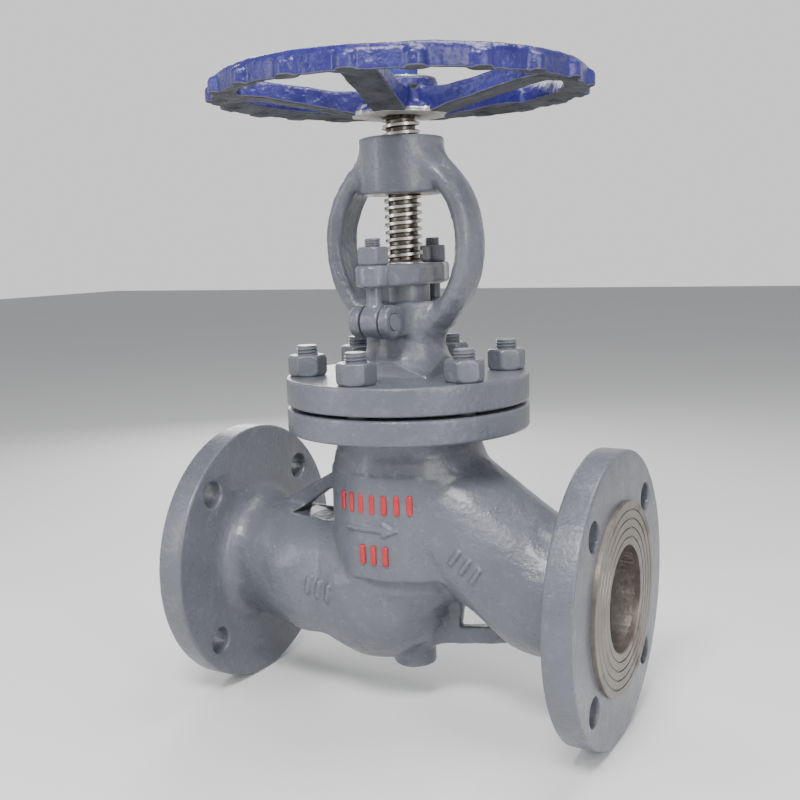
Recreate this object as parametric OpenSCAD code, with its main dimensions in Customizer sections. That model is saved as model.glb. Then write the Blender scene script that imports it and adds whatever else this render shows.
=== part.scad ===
// Flanged cast-steel globe valve with an outside screw and yoke.
// Lengths are in millimetres. The origin is the centre of the inlet flange's face,
// +X runs with the flow towards the outlet flange and +Z runs up the stem.

/* [Pipe flanges] */
// Length from the inlet face to the outlet face
face_to_face = 290; // [280:1:310]
// Outside diameter of each pipe flange
flange_d = 180; // [178:1:190]
// Thickness of a pipe flange without its raised face
flange_t = 18; // [16:1:22]
// Diameter of the raised gasket face
face_d = 118; // [112:1:122]
// Height of the raised gasket face
face_h = 3; // [2:0.5:4]
// Diameter of the bolt circle
bolt_circle_d = 145; // [144:1:148]
// Diameter of each bolt hole
bolt_hole_d = 18; // [14:1:19]
// Number of bolts in each pipe flange
bolt_count = 4; // [4, 8]
// Diameter of the flow bore
bore_d = 65; // [60:1:66]

/* [Body casting] */
// Radius of the upright barrel
barrel_r = 51; // [50:0.5:52]
// Radius of the neck under the body's top flange
neck_r = 47.5; // [46:0.5:49]
// Radius of the round bowl under the seat
bowl_r = 47; // [46:0.5:49]
// Radius of the sloping outlet branch at the barrel
outlet_branch_r = 43.5; // [42:0.5:45]
// Thickness of the stiffening webs
web_t = 8; // [6:1:10]
// Radius of the drain boss under the bowl
boss_r = 14; // [12:0.5:15]

/* [Bonnet joint] */
// Radius of the body's top flange and of the bonnet flange
bonnet_flange_r = 78.5; // [77:0.5:80]
// Thickness of the body's top flange
body_top_t = 15.5; // [14:0.5:17]
// Height of the joint face above the pipe's centreline
joint_z = 113.5; // [112:0.5:115]
// Thickness of the gasket between body and bonnet
gasket_t = 2; // [1.5:0.5:2.5]
// Thickness of the bonnet flange
bonnet_flange_t = 17.5; // [16:0.5:19]
// Number of bonnet studs
stud_count = 6; // [6]
// Radius of the circle on which the studs stand
stud_circle_r = 64.5; // [64:0.5:66]
// Diameter of the studs
stud_d = 14; // [12:1:14]
// Width across the flats of the stud nuts
stud_nut_af = 22; // [20:1:23]

/* [Yoke] */
// Height of the stuffing box's rim
box_top_z = 179; // [177:1:181]
// Outside radius of the stuffing box
box_r = 25; // [24:0.5:26]
// Radius of the packing chamber
packing_r = 16; // [15.7:0.1:17]
// Number of packing rings
packing_count = 4; // [4]
// Radius of the arc that each yoke arm follows
arm_arc_r = 61.5; // [60:0.5:63]
// Distance of an arm's middle from the stem's axis
arm_reach = 46.4; // [45:0.2:48]
// Height of the middle of the yoke arms
arm_mid_z = 215; // [213:1:217]
// Thickness of an arm, seen from the side
arm_t = 16; // [14:1:17]
// Width of an arm, across the pipe
arm_w = 28; // [24:1:30]
// Radius of the yoke's hub
hub_r = 27; // [26:0.5:28]
// Height of the hub's lower face
hub_bottom_z = 246; // [244:1:248]
// Height of the hub's upper face
hub_top_z = 281; // [279:1:283]

/* [Gland] */
// Distance of each eye bolt from the stem's axis
eye_bolt_y = 40; // [39.5:0.5:41]
// Height of the eye bolts' pins
eye_pin_z = 168.5; // [168:0.5:169.5]
// Diameter of the eye bolts
eye_bolt_d = 10; // [10, 12]
// Height of the gland flange's lower face
gland_z = 189.5; // [188:0.5:191]
// Thickness of the gland flange
gland_t = 13.5; // [11:0.5:14]
// Width across the flats of the gland nuts
gland_nut_af = 17; // [17:1:19]

/* [Stem and disc] */
// Diameter of the stem
stem_d = 24; // [24]
// Pitch of the stem's thread
pitch = 5; // [5]
// Travel of the disc from shut to fully open
lift = 20; // [16:1:20]
// Radius of the port in the seat ring
port_r = 31; // [30:0.5:31]
// Radius of the disc
disc_r = 36; // [35:0.5:37]
// Height of the seat's top
seat_z = 16; // [16]

/* [Handwheel] */
// Radius of the rim, without its finger lobes
rim_r = 116; // [114:0.5:117]
// Inside radius of the rim
rim_inner_r = 101; // [99:0.5:102]
// Height of the rim's lower outer edge
rim_z = 304.5; // [303:0.5:306]
// Height of the rim
rim_h = 14.5; // [13:0.5:16]
// Number of spokes
spoke_count = 5; // [5]
// Width of a spoke
spoke_w = 21; // [18:1:22]
// Direction of the first spoke, in degrees from +X
spoke_angle = -3.5; // [-36:0.5:36]
// Number of finger lobes around the rim
lobe_count = 20; // [15, 20]
// Radius of a finger lobe
lobe_r = 6.5; // [6:0.5:7]
// Height of the hub's underside
wheel_hub_z = 294; // [293.5:0.5:294.5]

/* [Hidden] */
$fn = 96;
EPS = 0.01;
run_gap = 0.05;
fit_gap = 0.1;
rest_gap = 0.3;
half_len = face_to_face / 2;
bore_r = bore_d / 2;
flange_back = half_len - face_h - flange_t;
branch_end_r = 40.5;
flare = 11;
groove_count = 4;
groove_step = 5.5;
groove_w = 1.2;
groove_depth = 0.8;
stem_r = stem_d / 2;

// Body casting, measured from the stem's axis and the pipe's centreline
neck_bottom_z = 78;
barrel_bottom_z = 8;
body_top_z0 = joint_z - body_top_t;
bowl = [-20, -12];
inlet_mid = [-72, -7.5];
inlet_mid_r = 41.5;
inlet_bend = [-104, 0];
inlet_low = [-50, -13];
inlet_bowl = [-15, -13];
inlet_bowl_r = 37.5;
port_bowl = [-4, -4];
port_bowl_r = 26;
port_bottom_z = -9;
bend_gap = 0.4;
outlet_high = [0, 62];
outlet_low = [95, 0];
boss_bottom_z = -63;
chamber_r = 43.5;
chamber_top_z = 74;
neck_bore_r = 40;
floor_z = 14;
bridge_z = 6;
bridge_r = 51.5;
seat_pocket_r = 39;
tap_floor_z = body_top_z0 + 2;
outlet_web_outline = [[0, -52], [17.5, -47.5], [64, -40.5], [90, -36], [75, -15], [20, 0], [0, -20]];
outlet_window = [[35, -33.5], [62, -29], [60, -26.5], [40.5, -15.5], [37.5, -16.5]];
inlet_web_outline = [[-112, 28], [-108, 34.5], [-45, 71], [-45, 20]];
inlet_window = [[-86, 33.5], [-62, 50.5], [-57, 51], [-55.5, 48], [-55.5, 26], [-75, 32]];

// Bonnet and stuffing box
bonnet_z = joint_z + gasket_t;
bonnet_top_z = bonnet_z + bonnet_flange_t;
spigot_t = 9.5;
bushing_z = 120;
bushing_r = 15;
packing_z = 138;
base_ring_t = 3;
packing_h = 7.5;
packing_top_z = packing_z + base_ring_t + packing_count * packing_h;
stud_nut_h = 13.5;
stud_top_z = bonnet_top_z + stud_nut_h + 6;

// Eye bolts and their clevises
eye_r = 9.5;
eye_half_t = 6;
pin_r = 5;
ear_r = 10;
ear_in = 6.5;
ear_out = 13.5;
slot_start = 28;
slot_l = 30;
slot_bottom_z = 150;
gland_end_r = 11;
gland_mid_w = 40;
gland_mid_l = 34;
gland_nut_h = 11;
eye_bolt_top_z = gland_z + gland_t + gland_nut_h + 5;
follower_r = packing_r - fit_gap;

// Yoke nut
yoke_nut_r = 17.5;
grub_r = 3;
grub_depth = 8;

// Stem and disc
disc_z = seat_z + rest_gap;
disc_hub_z = 32;
disc_top_z = 46;
disc_hub_r = 23;
socket_r = 18;
socket_z = 22;
stem_foot_z = socket_z + rest_gap;
groove_z = 30.5;
groove_h = 6;
groove_r = 8.5;
split_ring_r = 16.5;
cover_z = groove_z + groove_h + rest_gap;
cover_lip_t = 4;
cover_lip_r = 22;
backseat_t = 3;
backseat_r = 14.5;
collar_t = 7;
collar_top_z = bushing_z + backseat_t - lift - 0.5;
thread_z = 205;
thread_root_r = stem_r - 2.7;
square_z = wheel_hub_z + 2;
square_w = 17;
tip_r = 7;
tip_top_z = 329.5;

// Handwheel
wheel_hub_top_z = 315;
wheel_hub_r = 24.5;
wheel_hub_waist_r = 21;
wheel_hub_foot_r = 28;
rim_inner_z = rim_z + 3.3;
spoke_t = 11;
plate_r = 23;
plate_t = 1.2;
tip_nut_af = 21;
tip_nut_h = 8.5;

// Moves what is drawn around the stem's axis to its place between the flanges.
module at_stem() translate([half_len, 0, 0]) children();

// A round bar from point a to point b of the XZ plane, tapering from ra to rb.
module bar_xz(a, b, ra, rb) {
    run = norm(b - a);
    tilt = atan2(b[0] - a[0], b[1] - a[1]);
    translate([a[0], 0, a[1]])
        rotate([0, tilt, 0])
            cylinder(r1 = ra, r2 = rb, h = run);
}

// A ball centred on point p of the XZ plane.
module ball_xz(p, r) translate([p[0], 0, p[1]]) sphere(r = r);

// A round bar along X from x0 to x1.
module bar_x(x0, x1, r)
    translate([x0, 0, 0]) rotate([0, 90, 0]) cylinder(r = r, h = x1 - x0);

// A plate in the XZ plane, centred on the pipe's centreline.
module plate_xz(points, t)
    rotate([90, 0, 0]) translate([0, 0, -t / 2]) linear_extrude(t) polygon(points);

// A ring standing on height z.
module ring(z, h, r_out, r_in)
    translate([0, 0, z]) difference() {
        cylinder(r = r_out, h = h);
        translate([0, 0, -1]) cylinder(r = r_in, h = h + 2);
    }

// A hexagon nut blank with a round bore, standing on height z.
module hex_nut(z, h, af, r_in)
    translate([0, 0, z]) difference() {
        intersection() {
            cylinder(r = af / sqrt(3), h = h, $fn = 6);
            rotate_extrude() polygon([[0, 0], [af / 2, 0], [af / sqrt(3), h / 7],
                [af / sqrt(3), h * 6 / 7], [af / 2, h], [0, h]]);
        }
        translate([0, 0, -1]) cylinder(r = r_in, h = h + 2);
    }

// Repeats its children around the stem's axis, count times from angle first.
module around(count, first)
    for (i = [0 : count - 1]) rotate([0, 0, first + i * 360 / count]) children();

// A quarter round between a pipe of radius r and a flange's back at x = 0.
function flare_profile(r, size) = concat([[r - 5, -size], [r, -size]],
    [for (a = [15 : 15 : 75]) [r + size * (1 - cos(a)), -size * (1 - sin(a))]],
    [[r + size, EPS], [r - 5, EPS]]);

// One pipe flange with its neck flare. Its gasket face looks along +X, at x = 0.
module pipe_flange() {
    back = -face_h - flange_t;
    translate([back, 0, 0]) rotate([0, 90, 0]) {
        translate([0, 0, 0.5]) cylinder(r = flange_d / 2, h = flange_t - 1);
        cylinder(r = flange_d / 2 - 1, h = flange_t);
        difference() {
            cylinder(r = face_d / 2, h = flange_t + face_h);
            for (i = [1 : groove_count])
                ring(flange_t + face_h - groove_depth, 2, bore_r + groove_step * i,
                    bore_r + groove_step * i - groove_w);
        }
        rotate_extrude() polygon(flare_profile(branch_end_r - 0.3, flare));
    }
}

module bolt_holes()
    for (i = [0 : bolt_count - 1])
        rotate([(i + 0.5) * 360 / bolt_count, 0, 0])
            translate([0, 0, bolt_circle_d / 2])
                bar_x(-face_h - flange_t - 1, 1, bolt_hole_d / 2);

module barrel() rotate_extrude() polygon([[0, -18], [36, -15], [42, -9.5], [45.5, -3],
    [47, 4], [barrel_r - 1, barrel_bottom_z - 1.5], [barrel_r, barrel_bottom_z],
    [barrel_r, neck_bottom_z - 5], [neck_r + 1.5, neck_bottom_z],
    [neck_r, neck_bottom_z + 3], [neck_r, body_top_z0 - 5], [neck_r + 1.5, body_top_z0 - 1.5],
    [neck_r + 5, body_top_z0], [bonnet_flange_r - 1, body_top_z0],
    [bonnet_flange_r, body_top_z0 + 1], [bonnet_flange_r, joint_z - 1],
    [bonnet_flange_r - 1, joint_z], [0, joint_z]]);

module body_outside() {
    barrel();
    ball_xz(bowl, bowl_r);
    bar_xz(bowl, inlet_mid, bowl_r - 2.5, inlet_mid_r);
    ball_xz(inlet_mid, inlet_mid_r + bend_gap + 0.2);
    bar_xz(inlet_mid, [-flange_back - 2, 0], inlet_mid_r, branch_end_r);
    bar_xz(outlet_high, outlet_low, outlet_branch_r, branch_end_r);
    ball_xz(outlet_low, branch_end_r + bend_gap);
    bar_x(outlet_low[0], flange_back + 2, branch_end_r);
    translate([half_len, 0, 0]) pipe_flange();
    mirror([1, 0, 0]) translate([half_len, 0, 0]) pipe_flange();
    translate([0, 0, boss_bottom_z]) cylinder(r1 = boss_r - 1.5, r2 = boss_r, h = 1.5);
    translate([0, 0, boss_bottom_z + 1.5]) cylinder(r = boss_r, h = 25);
    outlet_web();
    inlet_web();
}

// The web under the outlet branch, with its three-cornered window.
module outlet_web() difference() {
    plate_xz(outlet_web_outline, web_t);
    plate_xz(outlet_window, web_t + 2);
}

// The web over the inlet branch, with its window beside the barrel.
module inlet_web() difference() {
    plate_xz(inlet_web_outline, web_t);
    plate_xz(inlet_window, web_t + 2);
}

// The inlet passage and the chamber under the seat.
module inlet_passage() {
    bar_x(-half_len - 1, inlet_bend[0], bore_r);
    ball_xz(inlet_bend, bore_r + bend_gap);
    difference() {
        union() {
            bar_xz(inlet_bend, inlet_low, bore_r - EPS, bore_r - EPS);
            ball_xz(inlet_bowl, inlet_bowl_r);
        }
        translate([0, 0, bridge_z - 1]) cylinder(r = bridge_r, h = joint_z);
    }
    ball_xz(port_bowl, port_bowl_r);
    translate([0, 0, port_bottom_z]) cylinder(r = port_r, h = floor_z - port_bottom_z + 1);
}

// The chamber over the seat and the outlet passage.
module outlet_passage() {
    translate([0, 0, floor_z]) cylinder(r = chamber_r, h = chamber_top_z - floor_z);
    translate([0, 0, chamber_top_z - 1]) cylinder(r = neck_bore_r, h = joint_z);
    difference() {
        bar_xz(outlet_high, outlet_low, bore_r - EPS, bore_r - EPS);
        translate([0, 0, floor_z - joint_z]) cylinder(r = chamber_r + bend_gap, h = joint_z);
    }
    ball_xz(outlet_low, bore_r + bend_gap);
    bar_x(outlet_low[0], half_len + 1, bore_r);
}

module body() color([0.5, 0.52, 0.55]) at_stem() difference() {
    body_outside();
    inlet_passage();
    outlet_passage();
    translate([0, 0, bridge_z]) cylinder(r = seat_pocket_r, h = 20);
    around(stud_count, 30) translate([stud_circle_r, 0, tap_floor_z])
        cylinder(r = stud_d / 2, h = 30);
    translate([half_len, 0, 0]) bolt_holes();
    mirror([1, 0, 0]) translate([half_len, 0, 0]) bolt_holes();
}

module seat_ring() color([0.72, 0.7, 0.66]) at_stem() rotate_extrude()
    polygon([[port_r, bridge_z], [seat_pocket_r - run_gap, bridge_z],
        [seat_pocket_r - run_gap, seat_z - 1], [seat_pocket_r - 1, seat_z],
        [port_r + 2, seat_z], [port_r, seat_z - 2]]);

module disc() color([0.7, 0.7, 0.68]) at_stem() rotate_extrude()
    polygon([[0, disc_z - 4], [port_r - 3, disc_z - 4], [port_r - 1.2, disc_z], [disc_r - 1, disc_z],
        [disc_r, disc_z + 1], [disc_r, disc_hub_z - 2], [disc_r - 2, disc_hub_z],
        [disc_hub_r, disc_hub_z + 2], [disc_hub_r, disc_top_z], [socket_r, disc_top_z],
        [socket_r, socket_z], [0, socket_z]]);

module disc_cover() color([0.62, 0.62, 0.62]) at_stem() {
    ring(cover_z, disc_top_z - cover_z, socket_r - run_gap, stem_r + rest_gap);
    difference() {
        translate([0, 0, disc_top_z]) cylinder(r = cover_lip_r, h = cover_lip_t, $fn = 8);
        translate([0, 0, disc_top_z - 1]) cylinder(r = stem_r + rest_gap, h = cover_lip_t + 2);
    }
}

// Two half rings in the stem's groove carry the disc.
module split_ring() color([0.75, 0.6, 0.35]) at_stem() difference() {
    ring(groove_z + run_gap, groove_h - 2 * run_gap, split_ring_r, groove_r + run_gap);
    translate([-split_ring_r - 1, -rest_gap, groove_z - 1])
        cube([2 * split_ring_r + 2, 2 * rest_gap, groove_h + 2]);
}

// The outline of one turn of the stem's trapezoidal thread, starting at height z.
function thread_turn(z) = [[stem_r, z], [stem_r, z + 0.34 * pitch],
    [thread_root_r, z + 0.5 * pitch], [thread_root_r, z + 0.84 * pitch]];

module stem() color([0.62, 0.58, 0.52]) at_stem() {
    turns = floor((square_z - 1 - thread_z) / pitch);
    rotate_extrude() polygon(concat(
        [[0, stem_foot_z], [stem_r - 3, stem_foot_z], [stem_r - 0.5, stem_foot_z + 1.5],
            [stem_r - 0.5, groove_z], [groove_r, groove_z], [groove_r, groove_z + groove_h],
            [stem_r, groove_z + groove_h], [stem_r, collar_top_z - collar_t - 3],
            [backseat_r, collar_top_z - collar_t], [backseat_r, collar_top_z - backseat_t],
            [stem_r, collar_top_z], [stem_r, thread_z - 2], [thread_root_r, thread_z - 1]],
        [for (i = [0 : turns - 1]) each thread_turn(thread_z + i * pitch)],
        [[stem_r, thread_z + turns * pitch], [stem_r, square_z], [0, square_z]]));
    translate([-square_w / 2, -square_w / 2, square_z - 1])
        cube([square_w, square_w, wheel_hub_top_z - square_z + 1 - rest_gap]);
    translate([0, 0, wheel_hub_top_z - 1]) cylinder(r = tip_r, h = tip_top_z - wheel_hub_top_z);
    translate([0, 0, tip_top_z - 1 - EPS]) cylinder(r1 = tip_r, r2 = tip_r - 1, h = 1);
}

// The oval cross-section of a yoke arm, thinner towards the stem.
function arm_section() = [for (a = [0 : 18 : 342])
    [arm_t / 2 * cos(a), arm_w / 2 * sin(a) * (cos(a) > 0 ? 1 : 0.9)]];

module yoke_arm() translate([arm_reach - arm_arc_r, 0, arm_mid_z]) rotate([90, 0, 0])
    rotate([0, 0, -62]) rotate_extrude(angle = 124)
        translate([arm_arc_r, 0]) polygon(arm_section());

// The two ears that hold an eye bolt's pin, on the side of +Y.
module clevis() for (side = [-1, 1]) {
    x0 = side > 0 ? ear_in : -ear_out;
    translate([x0, 0, eye_pin_z - ear_r + 0.4])
        cube([ear_out - ear_in, eye_bolt_y, 2 * ear_r - 0.8]);
    translate([x0, eye_bolt_y, eye_pin_z]) rotate([0, 90, 0])
        cylinder(r = ear_r, h = ear_out - ear_in);
}

module bonnet_solid() {
    rotate_extrude() polygon([[0, bonnet_z - spigot_t], [neck_bore_r - 1.5, bonnet_z - spigot_t],
        [neck_bore_r - 0.5, bonnet_z - spigot_t + 1], [neck_bore_r - 0.5, bonnet_z],
        [bonnet_flange_r - 1, bonnet_z], [bonnet_flange_r, bonnet_z + 1],
        [bonnet_flange_r, bonnet_top_z - 1.5], [bonnet_flange_r - 1.5, bonnet_top_z],
        [49, bonnet_top_z], [41, bonnet_top_z + 1.5], [34, bonnet_top_z + 5],
        [29, bonnet_top_z + 10], [box_r + 1, bonnet_top_z + 17], [box_r, bonnet_top_z + 24],
        [box_r, box_top_z - 1.5], [box_r - 1.5, box_top_z], [0, box_top_z]]);
    yoke_arm();
    mirror([1, 0, 0]) yoke_arm();
    rotate_extrude() polygon([[0, hub_bottom_z], [hub_r - 2, hub_bottom_z], [hub_r, hub_bottom_z + 2],
        [hub_r, hub_top_z - 2], [hub_r - 2, hub_top_z], [0, hub_top_z]]);
    clevis();
    mirror([0, 1, 0]) clevis();
}

module bonnet() color([0.5, 0.52, 0.55]) at_stem() difference() {
    bonnet_solid();
    translate([0, 0, packing_z]) cylinder(r = packing_r, h = box_top_z);
    translate([0, 0, bushing_z]) cylinder(r = bushing_r, h = packing_z);
    translate([0, 0, bonnet_z - spigot_t - 1])
        cylinder(r1 = neck_bore_r - 7, r2 = bushing_r + 3, h = 1 + bushing_z - bonnet_z + spigot_t);
    around(stud_count, 30) translate([stud_circle_r, 0, bonnet_z - 1])
        cylinder(r = stud_d / 2 + 0.5, h = bonnet_flange_t + 10);
    translate([0, 0, hub_bottom_z - 1]) cylinder(r = yoke_nut_r, h = hub_top_z);
    translate([0, hub_r + 1, hub_top_z - grub_depth]) rotate([90, 0, 0]) cylinder(r = grub_r, h = hub_r);
    for (side = [-1, 1]) translate([0, side * eye_bolt_y, eye_pin_z])
        bar_x(-ear_out - 1, ear_out + 1, pin_r + run_gap);
    for (side = [-1, 1]) rotate([0, 0, 90 * side]) translate([slot_start, -ear_in, slot_bottom_z])
        cube([slot_l, 2 * ear_in, box_top_z - slot_bottom_z]);
}

module bonnet_gasket() color([0.25, 0.25, 0.26]) at_stem()
    ring(joint_z, gasket_t, 56, neck_bore_r + 0.2);

module bonnet_studs() color([0.5, 0.52, 0.55]) at_stem()
    around(stud_count, 30) translate([stud_circle_r, 0, tap_floor_z + 0.5])
        cylinder(r = stud_d / 2 - run_gap, h = stud_top_z - tap_floor_z - 0.5);

module bonnet_nuts() color([0.5, 0.52, 0.55]) at_stem()
    around(stud_count, 30) translate([stud_circle_r, 0, 0]) rotate([0, 0, 30])
        hex_nut(bonnet_top_z, stud_nut_h, stud_nut_af, stud_d / 2);

module backseat_bushing() color([0.74, 0.6, 0.35]) at_stem() rotate_extrude()
    polygon([[stem_r + run_gap, bushing_z + backseat_t], [backseat_r, bushing_z],
        [bushing_r - run_gap, bushing_z], [bushing_r - run_gap, packing_z],
        [stem_r + run_gap, packing_z]]);

module packing_base_ring() color([0.6, 0.6, 0.6]) at_stem()
    ring(packing_z, base_ring_t, packing_r - run_gap, stem_r + run_gap);

module packing_ring(i) color([0.2, 0.2, 0.2]) at_stem()
    ring(packing_z + base_ring_t + i * packing_h, packing_h, packing_r - run_gap, stem_r + run_gap);

module packing_ring_1() packing_ring(0);
module packing_ring_2() packing_ring(1);
module packing_ring_3() packing_ring(2);
module packing_ring_4() packing_ring(3);

module gland_follower() color([0.5, 0.52, 0.55]) at_stem()
    ring(packing_top_z, gland_z - packing_top_z, follower_r, stem_r + fit_gap);

// The gland flange's outline: a wide middle with two round ends on the eye bolts.
function gland_outline() = [
    for (a = [0 : 15 : 180]) [gland_end_r * cos(a), eye_bolt_y + gland_end_r * sin(a)],
    [-gland_mid_w / 2, gland_mid_l / 2], [-gland_mid_w / 2, -gland_mid_l / 2],
    for (a = [180 : 15 : 360]) [gland_end_r * cos(a), -eye_bolt_y + gland_end_r * sin(a)],
    [gland_mid_w / 2, -gland_mid_l / 2], [gland_mid_w / 2, gland_mid_l / 2]];

module gland_flange() color([0.5, 0.52, 0.55]) at_stem() translate([0, 0, gland_z]) difference() {
    linear_extrude(gland_t) polygon(gland_outline());
    translate([0, 0, -1]) cylinder(r = stem_r + 1, h = gland_t + 2);
    for (side = [-1, 1]) translate([0, side * eye_bolt_y, -1])
        cylinder(r = eye_bolt_d / 2 + 0.75, h = gland_t + 2);
}

// One eye bolt, standing at distance y from the stem's axis.
module eye_bolt(y) color([0.5, 0.52, 0.55]) at_stem() translate([0, y, 0]) difference() {
    union() {
        translate([0, 0, eye_pin_z]) bar_x(-eye_half_t, eye_half_t, eye_r);
        translate([0, 0, eye_pin_z]) cylinder(r = eye_bolt_d / 2 - run_gap, h = eye_bolt_top_z - eye_pin_z);
    }
    translate([0, 0, eye_pin_z]) bar_x(-eye_half_t - 1, eye_half_t + 1, pin_r + run_gap);
}

module eye_bolt_near() eye_bolt(-eye_bolt_y);
module eye_bolt_far() eye_bolt(eye_bolt_y);

module eye_bolt_pin(y) color([0.5, 0.52, 0.55]) at_stem()
    translate([0, y, eye_pin_z]) bar_x(-ear_out - 0.3, ear_out + 0.3, pin_r);

module eye_bolt_pin_near() eye_bolt_pin(-eye_bolt_y);
module eye_bolt_pin_far() eye_bolt_pin(eye_bolt_y);

module gland_nut(y) color([0.5, 0.52, 0.55]) at_stem() translate([0, y, 0])
    hex_nut(gland_z + gland_t, gland_nut_h, gland_nut_af, eye_bolt_d / 2);

module gland_nut_near() gland_nut(-eye_bolt_y);
module gland_nut_far() gland_nut(eye_bolt_y);

module yoke_nut() color([0.75, 0.6, 0.35]) at_stem() difference() {
    ring(hub_bottom_z, hub_top_z - hub_bottom_z, yoke_nut_r - run_gap, stem_r + run_gap);
    translate([0, yoke_nut_r + 1, hub_top_z - grub_depth]) rotate([90, 0, 0]) cylinder(r = grub_r, h = 3);
}

module yoke_nut_screw() color([0.5, 0.52, 0.55]) at_stem()
    translate([0, yoke_nut_r - 1.8, hub_top_z - grub_depth]) rotate([-90, 0, 0]) difference() {
        cylinder(r = grub_r - run_gap, h = hub_r - yoke_nut_r + 2);
        translate([0, 0, hub_r - yoke_nut_r - 1]) cylinder(r = 1.6, h = 5, $fn = 6);
    }

// The rim's section: a hollowed underside, an upright outer wall and a round top.
function rim_section() = [[rim_inner_r, rim_inner_z], [rim_r - 1, rim_z],
    [rim_r, rim_z + 1], [rim_r, rim_z + 0.55 * rim_h], [rim_r - 2, rim_z + 0.83 * rim_h],
    [rim_r - 5, rim_z + rim_h], [rim_inner_r + 5, rim_z + rim_h],
    [rim_inner_r + 1.5, rim_z + 0.83 * rim_h], [rim_inner_r, rim_z + 0.55 * rim_h]];

// A spoke's side: it runs level out of the rim and dips to the hub.
function spoke_side() = [[14, wheel_hub_z], [wheel_hub_foot_r, wheel_hub_z], [40, wheel_hub_z + 3],
    [85, rim_inner_z - 2], [rim_inner_r + 3, rim_inner_z - 0.3],
    [rim_inner_r + 3, rim_inner_z + 0.8 * spoke_t], [85, rim_inner_z + spoke_t - 3],
    [40, wheel_hub_z + 4 + spoke_t], [14, wheel_hub_z + spoke_t + 4]];

module handwheel() color([0.13, 0.16, 0.55]) at_stem() difference() {
    union() {
        rotate_extrude() polygon(rim_section());
        around(lobe_count, spoke_angle) translate([rim_r - 2, 0, rim_z]) {
            cylinder(r = lobe_r, h = rim_h * 0.5);
            translate([0, 0, rim_h * 0.5 - EPS]) cylinder(r1 = lobe_r, r2 = lobe_r * 0.4, h = rim_h * 0.25);
        }
        around(spoke_count, spoke_angle) plate_xz(spoke_side(), spoke_w);
        rotate_extrude() polygon([[0, wheel_hub_z], [wheel_hub_foot_r - 1, wheel_hub_z],
            [wheel_hub_foot_r, wheel_hub_z + 1], [wheel_hub_foot_r - 1, wheel_hub_z + 3],
            [wheel_hub_waist_r, wheel_hub_z + 7], [wheel_hub_waist_r, wheel_hub_top_z - 7],
            [wheel_hub_r, wheel_hub_top_z - 5], [wheel_hub_r, wheel_hub_top_z - 1],
            [wheel_hub_r - 1, wheel_hub_top_z], [0, wheel_hub_top_z]]);
    }
    translate([-square_w / 2 - run_gap, -square_w / 2 - run_gap, wheel_hub_z - 1])
        cube([square_w + 2 * run_gap, square_w + 2 * run_gap, 40]);
    translate([0, 0, wheel_hub_z - 1]) cylinder(r = stem_r + fit_gap, h = 1 + square_z - wheel_hub_z + EPS);
}

module handwheel_plate() color([0.45, 0.47, 0.55]) at_stem()
    ring(wheel_hub_top_z, plate_t, plate_r, tip_r + fit_gap);

module handwheel_nut() color([0.5, 0.52, 0.55]) at_stem()
    hex_nut(wheel_hub_top_z + plate_t, tip_nut_h, tip_nut_af, tip_r + run_gap);

body();
seat_ring();
disc();
disc_cover();
split_ring();
stem();
bonnet();
bonnet_gasket();
bonnet_studs();
bonnet_nuts();
backseat_bushing();
packing_base_ring();
packing_ring_1();
packing_ring_2();
packing_ring_3();
packing_ring_4();
gland_follower();
gland_flange();
eye_bolt_near();
eye_bolt_far();
eye_bolt_pin_near();
eye_bolt_pin_far();
gland_nut_near();
gland_nut_far();
yoke_nut();
yoke_nut_screw();
handwheel();
handwheel_plate();
handwheel_nut();
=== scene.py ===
import math

import bmesh
import bpy
import numpy as np
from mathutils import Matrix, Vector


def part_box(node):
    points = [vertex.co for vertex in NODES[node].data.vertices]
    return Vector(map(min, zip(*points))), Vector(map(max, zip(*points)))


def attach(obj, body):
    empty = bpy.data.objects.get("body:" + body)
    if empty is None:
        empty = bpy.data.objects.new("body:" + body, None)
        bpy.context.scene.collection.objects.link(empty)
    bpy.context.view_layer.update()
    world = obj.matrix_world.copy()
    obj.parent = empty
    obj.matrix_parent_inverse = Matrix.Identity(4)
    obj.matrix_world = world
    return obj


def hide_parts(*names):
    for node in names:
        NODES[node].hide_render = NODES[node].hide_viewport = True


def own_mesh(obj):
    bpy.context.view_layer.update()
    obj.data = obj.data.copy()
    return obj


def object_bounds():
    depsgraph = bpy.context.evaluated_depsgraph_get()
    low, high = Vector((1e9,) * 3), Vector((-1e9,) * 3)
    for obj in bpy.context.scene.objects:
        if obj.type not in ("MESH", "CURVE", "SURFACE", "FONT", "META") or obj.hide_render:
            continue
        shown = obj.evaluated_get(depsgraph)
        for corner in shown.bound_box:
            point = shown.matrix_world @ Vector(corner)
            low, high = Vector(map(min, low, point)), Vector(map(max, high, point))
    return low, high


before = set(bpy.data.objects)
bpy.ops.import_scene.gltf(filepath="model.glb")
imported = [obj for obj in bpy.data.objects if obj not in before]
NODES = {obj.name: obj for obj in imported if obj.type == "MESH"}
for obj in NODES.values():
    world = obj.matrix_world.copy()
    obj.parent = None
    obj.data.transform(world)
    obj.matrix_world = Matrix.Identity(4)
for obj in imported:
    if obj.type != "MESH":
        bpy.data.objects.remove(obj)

import openvdb
from mathutils import Matrix, Vector

CAD_BOX = [list(v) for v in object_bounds()]
MM = 0.001

# --- Driving sizes, in millimetres about the stem's axis, read from the frame ---


def mm(node):
    """A CAD node's box in millimetres: (low x, y, z), (high x, y, z)."""
    low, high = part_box(node)
    return np.array(low) * 1000, np.array(high) * 1000


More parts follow.
